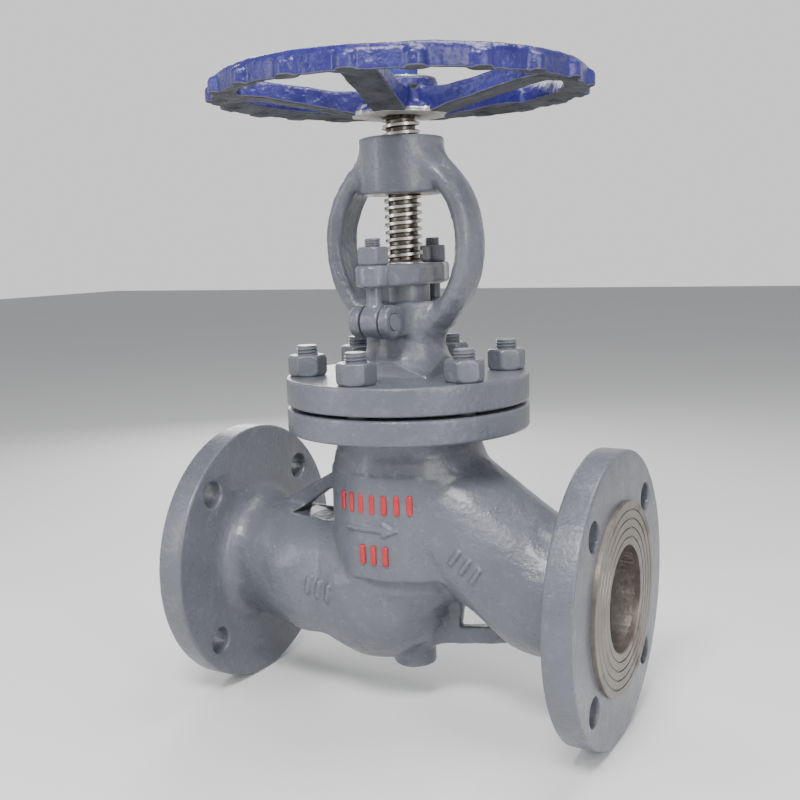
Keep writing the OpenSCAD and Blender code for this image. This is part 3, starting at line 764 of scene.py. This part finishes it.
studs_at = [(STUD_R * math.cos(math.radians(30 + t)), STUD_R * math.sin(math.radians(30 + t)), t)
            for t in range(0, 360, 360 // STUDS)]
STUD_LOW, STUD_HIGH = mm("bonnet_studs")[0][2], mm("bonnet_studs")[1][2]
NUT_LOW, NUT_HIGH = mm("bonnet_nuts")[0][2], mm("bonnet_nuts")[1][2]
studs = join("bonnet_stud_threads", [threaded(f"stud_{k}", 6.9, 2.0, STUD_LOW, STUD_HIGH, 0.75, (x, y), 32)
                                     for k, (x, y, t) in enumerate(studs_at)])
nut_turns = (6, -11, 14, 3, -8, 9)
nuts = nut("bonnet_stud_nuts", 22, NUT_HIGH - NUT_LOW, 7,
           [(x, y, NUT_LOW, 30 + t + d) for (x, y, t), d in zip(studs_at, nut_turns)])

GNUT_LOW, GNUT_HIGH = mm("gland_nut_near")[0][2], mm("gland_nut_near")[1][2]
gland_nuts = {}
for side, label, turn in ((-1, "near", 12), (1, "far", -7)):
    gland_nuts[label] = nut(f"gland_hex_{label}", 17, GNUT_HIGH - GNUT_LOW, 5,
                            [(0, side * EYE_Y, GNUT_LOW, turn)], 0.4)
PLATE_TOP = mm("handwheel_plate")[1][2]
wheel_nut = nut("wheel_hex", 21, mm("handwheel_nut")[1][2] - PLATE_TOP, 7.05,
                [(0, 0, PLATE_TOP, 17)], 0.45)

EYE_TOP = mm("eye_bolt_near")[1][2]
eye_bolts = {}
for side, label in ((-1, "near"), (1, "far")):
    y = side * EYE_Y
    eye = Casting((-6, y - 10, PIN_Z - 10), (6, y + 10, PIN_Z + 24), 0.45 * (1))
    eye.add(drum_x((y, PIN_Z), 9.5, -6, 6, 1.4), (-6, y - 10, PIN_Z - 10), (6, y + 10, PIN_Z + 10))
    eye.add(drum_z((0, y), 4.8, PIN_Z, PIN_Z + 24, 0.3), (-5, y - 5, PIN_Z), (5, y + 5, PIN_Z + 24), 3.5)
    eye.cut(drum_x((y, PIN_Z), 5.05, -8, 8, 0.2), (-8, y - 6, PIN_Z - 6), (8, y + 6, PIN_Z + 6), 0.6)
    eye_piece = eye.mesh(f"eye_{label}", 16000)
    rod = threaded(f"eye_rod_{label}", 4.95, 1.5, PIN_Z + 18, EYE_TOP, 0.6, (0, y), 28)
    eye_bolts[label] = union(eye_piece, [rod])
    eye_bolts[label].name = f"eye_bolt_turned_{label}"


# --- Bonnet casting ---

BCELL = 0.85
BOX_R, BOX_TOP = 25.0, mm("gland_follower")[0][2] + 8
ARM_R, ARM_X, ARM_Z = 61.5, -15.1, 215.0


def arm(side):
    """A yoke arm: an oval bar bent on an arc, flatter towards the stem."""
    def f(x, y, z):
        dx, dz = side * x - ARM_X, z - ARM_Z
        t = np.clip(np.arctan2(dz, dx), -math.radians(62), math.radians(62))
        c, s = np.cos(t), np.sin(t)
        u = dx * c + dz * s - ARM_R
        w = dz * c - dx * s
        k0 = np.sqrt((u / 8) ** 2 + (y / 14) ** 2 + (w / 8) ** 2)
        k1 = np.sqrt((u / 64) ** 2 + (y / 196) ** 2 + (w / 64) ** 2) + 1e-6
        oval = k0 * (k0 - 1) / k1
        lip = 1.2 * np.exp(-((np.abs(y) - 10.5) / 2.2) ** 2)
        return -soft_min(-oval, -(-u - 5.6 - lip), 2.0)
    return f


cast = Casting((-TOP_R, -TOP_R, GASKET_TOP - 9.5), (TOP_R, TOP_R, HUB_HIGH), BCELL)
cast.add(drum_z((0, 0), BOX_R, GASKET_TOP, BOX_TOP, 1.5), (-26, -26, GASKET_TOP), (26, 26, BOX_TOP))
for side in (-1, 1):
    x0, x1 = sorted((side * 10, side * 56))
    cast.add(arm(side), (x0, -15, 145), (x1, 15, 285), 8)
cast.wave(20, 0.28, 3)
cast.wave(7, 0.12, 5)
cast.add(drum_z((0, 0), 27, HUB_LOW, HUB_HIGH, 2), (-28, -28, HUB_LOW), (28, 28, HUB_HIGH), 7)
for sx in (-1, 1):
    for sy in (-1, 1):
        x0, x1 = sorted((sx * 6.5, sx * 13.5))
        y0, y1 = sorted((sy * 8, sy * EYE_Y))
        cast.add(brick((x0, y0, PIN_Z - 9.6), (x1, y1, PIN_Z + 9.6), 1.6),
                 (x0, y0, PIN_Z - 10), (x1, y1, PIN_Z + 10), 5)
        cast.add(drum_x((sy * EYE_Y, PIN_Z), 10, x0, x1, 1.6), (x0, sy * EYE_Y - 10, PIN_Z - 10),
                 (x1, sy * EYE_Y + 10, PIN_Z + 10), 2)
cast.add(drum_z((0, 0), TOP_R, GASKET_TOP, BONNET_TOP, 1.6),
         (-TOP_R, -TOP_R, GASKET_TOP), (TOP_R, TOP_R, BONNET_TOP), 25)
cast.add(drum_z((0, 0), 39.5, GASKET_TOP - 9.5, GASKET_TOP + 2, 1),
         (-40, -40, GASKET_TOP - 10), (40, 40, GASKET_TOP + 2), 0)
for sy in (-1, 1):
    y0, y1 = sorted((sy * 28, sy * 60))
    cast.cut(brick((-6.5, y0, 150), (6.5, y1, BOX_TOP + 12), 0.8), (-7, y0, 150), (7, y1, BOX_TOP + 12), 1)
    cast.cut(drum_x((sy * EYE_Y, PIN_Z), PIN_HOLE_R, -20, 20, 0.2),
             (-20, sy * EYE_Y - 6, PIN_Z - 6), (20, sy * EYE_Y + 6, PIN_Z + 6), 0.8)
cast.cut(drum_z((0, 0), 16, 138, 240, 0.2), (-16, -16, 138), (16, 16, 200), 0.5)
cast.cut(drum_z((0, 0), 15, 110, 140, 0.2), (-15, -15, 110), (15, 15, 140), 0)
cast.cut(cone((0, 0, GASKET_TOP - 12), (0, 0, 118), 33, 18), (-34, -34, GASKET_TOP - 13), (34, 34, 121), 0)
cast.cut(drum_z((0, 0), YOKE_NUT_R, HUB_LOW - 4, HUB_HIGH + 4, 0.2),
         (-18, -18, HUB_LOW - 4), (18, 18, HUB_HIGH + 4), 0.5)
screw_z = HUB_HIGH - SCREW_DEPTH
cast.cut(drum_y((0, screw_z), SCREW_HOLE_R, 14, 30, 0.2), (-4, 14, screw_z - 4), (4, 30, screw_z + 4), 0.6)
for x, y, t in studs_at:
    cast.cut(drum_z((x, y), STUD_HOLE_R, GASKET_TOP - 4, BONNET_TOP + 4, 0.2),
             (x - 8, y - 8, GASKET_TOP - 4), (x + 8, y + 8, BONNET_TOP + 4), 0.6)
bonnet = cast.mesh("bonnet_casting", 150000)
del cast


# --- Gland flange ---

GLAND_Z0, GLAND_Z1 = GLAND_LOW[2], GLAND_HIGH[2]
GLAND_END_R = 11
ends = [(GLAND_END_R * math.cos(math.radians(a)), EYE_Y + GLAND_END_R * math.sin(math.radians(a)))
        for a in range(0, 181, 15)]
gland_line = ends + [(-20, 17), (-20, -17)] + [(-x, -y) for x, y in ends] + [(20, -17), (20, 17)]


def gland_plate(x, y, z):
    """The gland's oval flange."""
    middle = (GLAND_Z0 + GLAND_Z1) / 2
    return plate(outline(gland_line, x, y), z - middle, (GLAND_Z1 - GLAND_Z0) / 2, 2.6)


gland_low, gland_high = GLAND_LOW - (SHIFT, 0, 0), GLAND_HIGH - (SHIFT, 0, 0)
cast = Casting(gland_low, gland_high, 0.6 * (1))
cast.add(gland_plate, gland_low, gland_high)
cast.wave(14, 0.12, 2)
cast.cut(drum_z((0, 0), 13, GLAND_Z0 - 4, GLAND_Z1 + 4, 0.2),
         (-13, -13, GLAND_Z0 - 4), (13, 13, GLAND_Z1 + 4), 1.2)
for sy in (-1, 1):
    cast.cut(drum_z((0, sy * EYE_Y), 5.75, GLAND_Z0 - 4, GLAND_Z1 + 4, 0.2),
             (-6, sy * EYE_Y - 6, GLAND_Z0 - 4), (6, sy * EYE_Y + 6, GLAND_Z1 + 4), 0.8)
gland = cast.mesh("gland_casting", 40000)


# --- Handwheel ---

WCELL = 0.75
RIM_Z, RIM_TOP, RIM_R, RIM_IN = 304.5, 319.0, 116.0, 101.0
LOBES, SPOKES, SPOKE_W = 20, 5, 21.0


def rim(x, y, z):
    """The wheel's rim: round on top, upright at the sides and hollowed underneath."""
    r = np.sqrt(x ** 2 + y ** 2)
    off, half = r - (RIM_R + RIM_IN) / 2, (RIM_R - RIM_IN) / 2
    ring = box2(off, z - (RIM_Z + RIM_TOP) / 2, half, (RIM_TOP - RIM_Z) / 2, 5.2)
    body = box2(off, z - (RIM_Z + 4), half, 6, 0.6)
    under = (RIM_Z - z) + (RIM_R - r) * 3.3 / (RIM_R - RIM_IN)
    both = np.minimum(ring, body)
    return -soft_min(-both, -under, 1.2)


def lobe(degrees):
    """A finger lobe on the rim's outer edge."""
    def f(x, y, z):
        u, v = turned_by(degrees, x, y)
        post = box2(np.sqrt((u - RIM_R + 2) ** 2 + v ** 2), z - (RIM_Z + 4.2), 6.5, 6.2, 3.5)
        return -soft_min(-post, -(RIM_Z + 0.4 - z), 1.6)
    return f


SPOKE_SIDE = [(12, WHEEL_Z), (28, WHEEL_Z), (40, WHEEL_Z + 3), (85, 305.8), (104, 307.5),
              (104, 316.3), (85, 315.8), (40, 309), (12, 309)]


def spoke(degrees):
    """A flat bar that runs level out of the rim and dips to the hub."""
    def f(x, y, z):
        u, v = turned_by(degrees, x, y)
        return plate(outline(SPOKE_SIDE, u, z), v, SPOKE_W / 2, 1.4)
    return f


HUB_LINE = [(0, WHEEL_Z), (27, WHEEL_Z), (28, WHEEL_Z + 1), (27, WHEEL_Z + 3), (21, WHEEL_Z + 7),
            (21, HUB_TOP - 7), (24, HUB_TOP - 5), (24.5, HUB_TOP - 4.4), (24.5, HUB_TOP - 1),
            (23.5, HUB_TOP), (0, HUB_TOP)]
cast = Casting((-121, -121, WHEEL_Z), (121, 121, RIM_TOP), WCELL)
cast.add(rim, (-118, -118, RIM_Z - 1), (118, 118, RIM_TOP))
for k in range(SPOKES):
    a = SPOKE_ANGLE + 72 * k
    reach = [(q * math.cos(math.radians(a)), q * math.sin(math.radians(a))) for q in (10, 105)]
    low = [min(p[i] for p in reach) - 12 for i in (0, 1)]
    high = [max(p[i] for p in reach) + 12 for i in (0, 1)]
    cast.add(spoke(a), (*low, WHEEL_Z), (*high, 318), 5)
cast.wave(22, 0.25, 13)
cast.wave(8, 0.10, 17)
for k in range(LOBES):
    a = SPOKE_ANGLE + 360 / LOBES * k
    c = ((RIM_R - 2) * math.cos(math.radians(a)), (RIM_R - 2) * math.sin(math.radians(a)))
    cast.add(lobe(a), (c[0] - 7, c[1] - 7, RIM_Z - 1), (c[0] + 7, c[1] + 7, RIM_TOP), 2.5)
cast.add(lathe_z([(max(r - 0.5, 0), z) for r, z in HUB_LINE], 0.0),
         (-28, -28, WHEEL_Z), (28, 28, HUB_TOP), 3)
cast.cut(lambda x, y, z: z - WHEEL_Z + 0 * x + 0 * y, (-130, -130, WHEEL_Z - 4), (130, 130, WHEEL_Z + 1), 0)
cast.cut(brick((-8.55, -8.55, WHEEL_Z - 9), (8.55, 8.55, 330), 0.2), (-9, -9, WHEEL_Z - 4), (9, 9, 325), 0)
cast.cut(drum_z((0, 0), STEM_R + 0.1, WHEEL_Z - 5, WHEEL_Z + 2, 0.1),
         (-13, -13, WHEEL_Z - 4), (13, 13, WHEEL_Z + 2.5), 0)
wheel = cast.mesh("handwheel_casting", 150000)
del cast


# --- Stem ---

foot, top = STEM_LOW[2], STEM_HIGH[2]
SQUARE_Z = WHEEL_Z + 2
THREAD_Z, LEAD = 203.5, 5.0
thread = threaded("stem_trapezoid_thread", STEM_R, LEAD, THREAD_Z, SQUARE_Z - 0.4, 2.7, (0, 0), 72, 0.34)
shaft_line = [(0, foot), (9, foot), (11.5, foot + 1.5), (11.5, 30.5), (8.5, 30.5), (8.5, 36.5),
              (STEM_R, 36.5), (STEM_R, 92.5), (14.5, 95.5), (14.5, 99.5), (STEM_R, 102.5), (STEM_R, THREAD_Z),
              (10.5, THREAD_Z + 1.5), (0, THREAD_Z + 1.5)]
shaft = turned_piece("stem_shaft", shaft_line, "Z", 96, 0.2)
tip = Casting((-9, -9, SQUARE_Z - 3), (9, 9, top), 0.5)
tip.add(brick((-8.5, -8.5, SQUARE_Z - 2), (8.5, 8.5, HUB_TOP - 0.4), 0.6),
        (-9, -9, SQUARE_Z - 3), (9, 9, HUB_TOP))
square = tip.mesh("stem_square", 6000)
tip_rod = threaded("stem_tip", 6.95, 2.0, HUB_TOP - 1.5, top, 0.9, (0, 0), 40)
stem = union(thread, [shaft, square, tip_rod])
stem.name = "stem_threaded"

# --- Packing, raised marks ---

packing = []
for i in range(1, 5):
    low, high = mm(f"packing_ring_{i}")
    z0, z1, r0, r1 = low[2] + 0.05, high[2] - 0.05, STEM_R + 0.1, 15.9
    line = [(r0, z0), (r1, z0), (r1, z1), (r0, z1)]
    packing.append(turned_piece(f"braided_packing_{i}", line, "Z", 96, 0.8))


def raised_on_barrel(name, flat, low_z, high_z, width):
    """Marks standing 1.6 mm proud of the barrel's -Y side."""
    def f(x, y, z):
        r = np.sqrt(x ** 2 + y ** 2)
        u = np.arctan2(x, -y) * BARREL_R
        return -soft_min(-(np.abs(r - BARREL_R + 0.2) - 1.8), -flat(u, z), 0.9)
    m = Casting((-width, -53.5, low_z), (width, -30, high_z), 0.42 * (1))
    m.add(f, (-width, -53.5, low_z), (width, -30, high_z))
    return m.mesh(name, 40000)


mark_rows = [(8 * k, 56.5, 1.9, 6.3) for k in range(-3, 4)] + [(8 * k, 24, 1.9, 6.3) for k in range(-1, 2)]
marks = raised_on_barrel("raised_marks", bars(mark_rows), 17, 64, 30)

# --- Finishes ---


def bare_face(name):
    """A machined gasket face: turned rings, brown stains and bright scratches."""
    s = Shade(name)
    stain = s.noise(26, 5, 0.7)
    colour = s.ramp(stain, [(0.32, (0.17, 0.15, 0.13)), (0.5, (0.25, 0.225, 0.20)),
                            (0.66, (0.13, 0.105, 0.085))])
    spots = s.spread(s.noise(210, 3, 0.7), 0.6, 0.78)
    colour = s.mix(s.math("MULTIPLY", spots, 0.6), colour, (0.13, 0.085, 0.06))
    y, z = s.axis("Y"), s.axis("Z")
    r = s.math("SQRT", s.math("ADD", s.math("MULTIPLY", y, y), s.math("MULTIPLY", z, z)))
    rings = s.math("SINE", s.math("MULTIPLY", r, 2 * math.pi * 1000 / 0.55))
    n = s.bump(rings, 0.00006)
    n = s.bump(s.noise(520, 3, 0.7), 0.0001, n)
    return s.set(Base_Color=colour, Metallic=0.75, Roughness=s.spread(stain, 0.3, 0.7, 0.34, 0.55), Normal=n)


def bore_wall(name):
    """The passage wall: rough cast steel, dark, in blotches."""
    s = Shade(name)
    blotch = s.noise(30, 5, 0.7)
    colour = s.ramp(blotch, [(0.3, (0.10, 0.085, 0.075)), (0.5, (0.24, 0.21, 0.185)),
                             (0.7, (0.36, 0.33, 0.3))])
    n = s.bump(s.noise(300, 4, 0.65), 0.0005)
    return s.set(Base_Color=colour, Metallic=0.7, Roughness=s.spread(blotch, 0.3, 0.7, 0.35, 0.6), Normal=n)


def wheel_paint(name):
    """Royal-blue enamel on the top and sides of a rough casting, thin towards the unpainted grey underside;
    the underside's dark tone is partly painted shade, and the edges carry painted highlights.
    """
    s = Shade(name)
    drift = s.noise(20, 4, 0.65)
    blue = s.mix(s.spread(drift, 0.35, 0.68), (0.012, 0.011, 0.085), (0.026, 0.025, 0.180))
    # painted highlight: lighter blue on the sharp edges of the wheel
    high = s.spread(s.edge(), 0.52, 0.6)
    blue = s.mix(s.math("MULTIPLY", high, 0.3), blue, (0.075, 0.08, 0.30))
    specks = s.spread(s.noise(340, 3, 0.7), 0.62, 0.74)
    blue = s.mix(s.math("MULTIPLY", specks, 0.3), blue, (0.10, 0.11, 0.33))
    # unpainted grey underside, its tone darkened further as painted shade under the wheel
    bare_and_shade = s.ramp(s.noise(60, 4, 0.6), [(0.3, (0.030, 0.031, 0.038)), (0.7, (0.085, 0.088, 0.10))])
    down = s.math("MULTIPLY", s.facing("Z"), -1.0)
    ragged = s.math("ADD", down, s.math("MULTIPLY", s.math("SUBTRACT", s.noise(130, 4, 0.7), 0.5), 0.35))
    under = s.spread(ragged, 0.32, 0.5)
    colour = s.mix(under, blue, bare_and_shade)
    # painted highlight: a lighter grey line on the rounded edge between the blue sides and the underside
    rim_highlight = s.math("MULTIPLY", s.spread(ragged, 0.2, 0.36), s.spread(ragged, 0.7, 0.45))
    colour = s.mix(s.math("MULTIPLY", rim_highlight, 0.3), colour, (0.22, 0.23, 0.28))
    z = s.axis("Z")
    foot_z = (WHEEL_Z + 3.0) * MM
    x, y = s.math("SUBTRACT", s.axis("X"), SHIFT * MM), s.axis("Y")
    r2 = s.math("ADD", s.math("MULTIPLY", x, x), s.math("MULTIPLY", y, y))
    foot = s.math("MULTIPLY", s.math("LESS_THAN", z, foot_z), s.math("LESS_THAN", r2, (30 * MM) ** 2))
    colour = s.mix(foot, colour, (0.48, 0.47, 0.45))
    metal = s.math("MULTIPLY", foot, 0.85)
    n = s.bump(s.noise(230, 5, 0.6), 0.0007)
    n = s.bump(s.spread(s.cells(210), 0.0, 0.5), 0.00035, n)
    rough = s.spread(s.noise(80, 4, 0.6), 0.3, 0.7, 0.2, 0.4)
    rough = s.math("ADD", rough, s.math("MULTIPLY", under, 0.35))
    shine = s.spread(under, 0.0, 1.0, 0.42, 0.1)
    coat = s.spread(under, 0.0, 0.5, 0.1, 0.0)
    return s.set(Base_Color=colour, Metallic=metal, Roughness=rough, Normal=n, Specular_IOR_Level=shine,
                 Coat_Weight=coat, Coat_Roughness=0.12)


def stem_metal(name):
    """Turned stem: bright crests, darker brown towards the thread roots."""
    s = Shade(name)
    x, y = s.math("SUBTRACT", s.axis("X"), SHIFT * MM), s.axis("Y")
    r = s.math("SQRT", s.math("ADD", s.math("MULTIPLY", x, x), s.math("MULTIPLY", y, y)))
    depth = s.spread(r, (STEM_R - 2.6) * MM, (STEM_R - 0.25) * MM)
    blotch = s.noise(120, 4, 0.65)
    low = s.mix(s.spread(blotch, 0.35, 0.65), (0.055, 0.047, 0.040), (0.20, 0.175, 0.15))
    high = s.mix(s.spread(blotch, 0.3, 0.6), (0.64, 0.61, 0.58), (0.46, 0.42, 0.38))
    colour = s.mix(depth, low, high)
    n = s.bump(s.noise(800, 3, 0.7), 0.00008)
    return s.set(Base_Color=colour, Metallic=0.95, Roughness=s.spread(blotch, 0.3, 0.7, 0.2, 0.42), Normal=n)


def graphite(name, weave=False):
    """Dull graphite, with a braid's weave where asked."""
    s = Shade(name)
    grain = s.noise(260, 4, 0.6)
    colour = s.mix(s.spread(grain, 0.35, 0.65), (0.02, 0.02, 0.022), (0.07, 0.07, 0.075))
    n = s.bump(grain, 0.0003)
    if weave:
        a = s.math("SINE", s.math("MULTIPLY", s.math("ADD", s.axis("X"), s.axis("Z")), 2600))
        b = s.math("SINE", s.math("MULTIPLY", s.math("SUBTRACT", s.axis("Y"), s.axis("Z")), 2600))
        n = s.bump(s.math("MULTIPLY", a, b), 0.0004, n)
    return s.set(Base_Color=colour, Metallic=0.2, Roughness=s.spread(grain, 0.3, 0.7, 0.45, 0.65), Normal=n)


def dark_screw(name):
    """Blackened steel."""
    s = Shade(name)
    grain = s.noise(200, 4, 0.6)
    colour = s.mix(s.spread(grain, 0.4, 0.6), (0.05, 0.05, 0.055), (0.14, 0.13, 0.13))
    return s.set(Base_Color=colour, Metallic=0.9,
                 Roughness=s.spread(grain, 0.3, 0.7, 0.3, 0.5), Normal=s.bump(grain, 0.0001))


FACE, BORE, BLUE = bare_face("bare_gasket_face"), bore_wall("passage_wall"), wheel_paint("blue_enamel")
STEM, SCREW = stem_metal("stem_metal"), dark_screw("black_steel")
GRAPHITE, BRAID = graphite("graphite_sheet"), graphite("braided_graphite", True)
NUT_BLUE = enamel("blue_enamel_on_steel", (0.016, 0.035, 0.26), (0.008, 0.016, 0.14), (0.12, 0.16, 0.4), 0.6)

body.data.materials.append(GREY)
body.data.materials.append(BORE)
centres = np.zeros(len(body.data.polygons) * 3, np.float32)
body.data.polygons.foreach_get("center", centres)
centres = centres.reshape(-1, 3) * 1000 - np.array([SHIFT, 0, 0])
x, y, z = centres.T
straight = (np.hypot(y, z) < BORE_R + 0.7) & (np.abs(x) > HALF - 55)
hollow = inlet_bowl(x, y, z) < 0.8
slope = outlet_slope(x, y, z) < 1.0
r = np.hypot(x, y)
room = ((r < 31.8) & (z > -9.5) | (r < 44.3) & (z > 5)) & (z < JOINT_Z - 0.5)
inside = straight | hollow | slope | room
body.data.polygons.foreach_set("material_index", inside.astype(np.int32))
body.data.update()

finish_piece(body, "valve_body", [], replaces=["body"])
finish_piece(bonnet, "valve_body", GREY, replaces=["bonnet"])
for s in seals:
    finish_piece(s, "valve_body", FACE, 30)
finish_piece(marks, "valve_body", RED)
finish_piece(studs, "valve_body", GREY_SMOOTH, 50, ["bonnet_studs"])
finish_piece(nuts, "valve_body", GREY_SMOOTH, 40, ["bonnet_nuts"])
for label in ("near", "far"):
    finish_piece(eye_bolts[label], "valve_body", GREY_SMOOTH, 50, [f"eye_bolt_{label}"])
    finish_piece(gland_nuts[label], f"{label}_gland_nut", GREY_SMOOTH, 40,
                 [f"gland_nut_{label}"])
finish_piece(gland, "gland", GREY_SMOOTH, 50, ["gland_flange"])
finish_piece(wheel, "stem_and_wheel", BLUE, 50, ["handwheel"])
finish_piece(wheel_nut, "stem_and_wheel", NUT_BLUE, 40, ["handwheel_nut"])
finish_piece(stem, "stem_and_wheel", STEM, 35, ["stem"])
for i, ring_piece in enumerate(packing, 1):
    finish_piece(ring_piece, "valve_body", BRAID, 40, [f"packing_ring_{i}"])
    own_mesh(ring_piece)

KEPT = {"seat_ring": STEEL, "disc": STEEL, "disc_cover": STEEL, "split_ring": BRONZE,
        "bonnet_gasket": GRAPHITE, "backseat_bushing": BRONZE, "packing_base_ring": STEEL,
        "gland_follower": GREY_SMOOTH,
        "eye_bolt_pin_near": GREY_SMOOTH, "eye_bolt_pin_far": GREY_SMOOTH, "yoke_nut": BRONZE,
        "yoke_nut_screw": SCREW, "handwheel_plate": STEEL}
for name, material in KEPT.items():
    node = NODES[name]
    node.data.materials.clear()
    node.data.materials.append(material)

# --- Floor, light and camera ---

floor_z = CAD_BOX[0][2] - 0.0002
bpy.ops.mesh.primitive_grid_add(x_subdivisions=2, y_subdivisions=2, size=12,
                                location=(SHIFT * MM, 0, floor_z))
floor = bpy.context.active_object
floor.name = "floor"
s = Shade("pale_floor")
pale = s.mix(s.noise(3, 2), (0.76, 0.76, 0.755), (0.80, 0.80, 0.795))
floor.data.materials.append(s.set(Base_Color=pale, Roughness=0.65))

world = bpy.data.worlds.new("studio")
bpy.context.scene.world = world
world.use_nodes = True
sky = world.node_tree
sky_at = sky.nodes.new("ShaderNodeTexCoord")
sky_split = sky.nodes.new("ShaderNodeSeparateXYZ")
sky_ramp = sky.nodes.new("ShaderNodeValToRGB")
sky.links.new(sky_at.outputs["Generated"], sky_split.inputs[0])
sky.links.new(sky_split.outputs["Z"], sky_ramp.inputs["Fac"])
sky.links.new(sky_ramp.outputs["Color"], sky.nodes["Background"].inputs[0])
low_sky, high_sky = sky_ramp.color_ramp.elements
low_sky.position, low_sky.color = 0.22, (1, 1, 1, 1)
high_sky.position, high_sky.color = 0.42, (0.3, 0.305, 0.32, 1)
sky.nodes["Background"].inputs[1].default_value = 1.0


def lamp(name, at, size, power, colour=(1, 1, 1)):
    """A soft box at a place, turned to the valve."""
    light = bpy.data.lights.new(name, "AREA")
    light.shape, light.size, light.size_y = "RECTANGLE", size[0], size[1]
    light.energy, light.color = power, colour
    o = bpy.data.objects.new(name, light)
    bpy.context.scene.collection.objects.link(o)
    o.location = at
    target = Vector((SHIFT * MM, 0, 0.12))
    o.rotation_euler = (target - Vector(at)).to_track_quat("-Z", "Y").to_euler()


lamp("key", (0.32, -0.80, 1.0), (0.4, 0.3), 17)
lamp("right", (1.1, -0.55, 0.5), (0.3, 0.8), 7)
lamp("left", (-0.6, -0.8, 0.5), (0.2, 0.8), 4, (0.97, 0.98, 1))
lamp("top", (0.3, 0.2, 1.15), (0.6, 0.5), 9)
lamp("rim", (-0.5, 0.75, 0.55), (0.4, 0.8), 5)

camera = bpy.data.cameras.new("camera")
view = bpy.data.objects.new("camera", camera)
bpy.context.scene.collection.objects.link(view)
bpy.context.scene.camera = view
camera.sensor_width = 36
camera.lens = 46.87
camera.clip_start, camera.clip_end = 0.02, 50
AZIMUTH, ELEVATION, ROLL, DISTANCE = math.radians(28.8), math.radians(8.42), math.radians(-1.71), 0.682
right = Vector((math.cos(AZIMUTH), math.sin(AZIMUTH), 0))
away = Vector((math.sin(AZIMUTH), -math.cos(AZIMUTH), 0))
back = away * math.cos(ELEVATION) + Vector((0, 0, math.sin(ELEVATION)))
target = Vector((SHIFT * MM - 0.00624, 0, 0.11423))
up = back.cross(right)
side = right * math.cos(ROLL) + up * math.sin(ROLL)
tall = back.cross(side)
pose = Matrix((side, tall, back)).transposed().to_4x4()
pose.translation = target + back * DISTANCE
view.matrix_world = pose
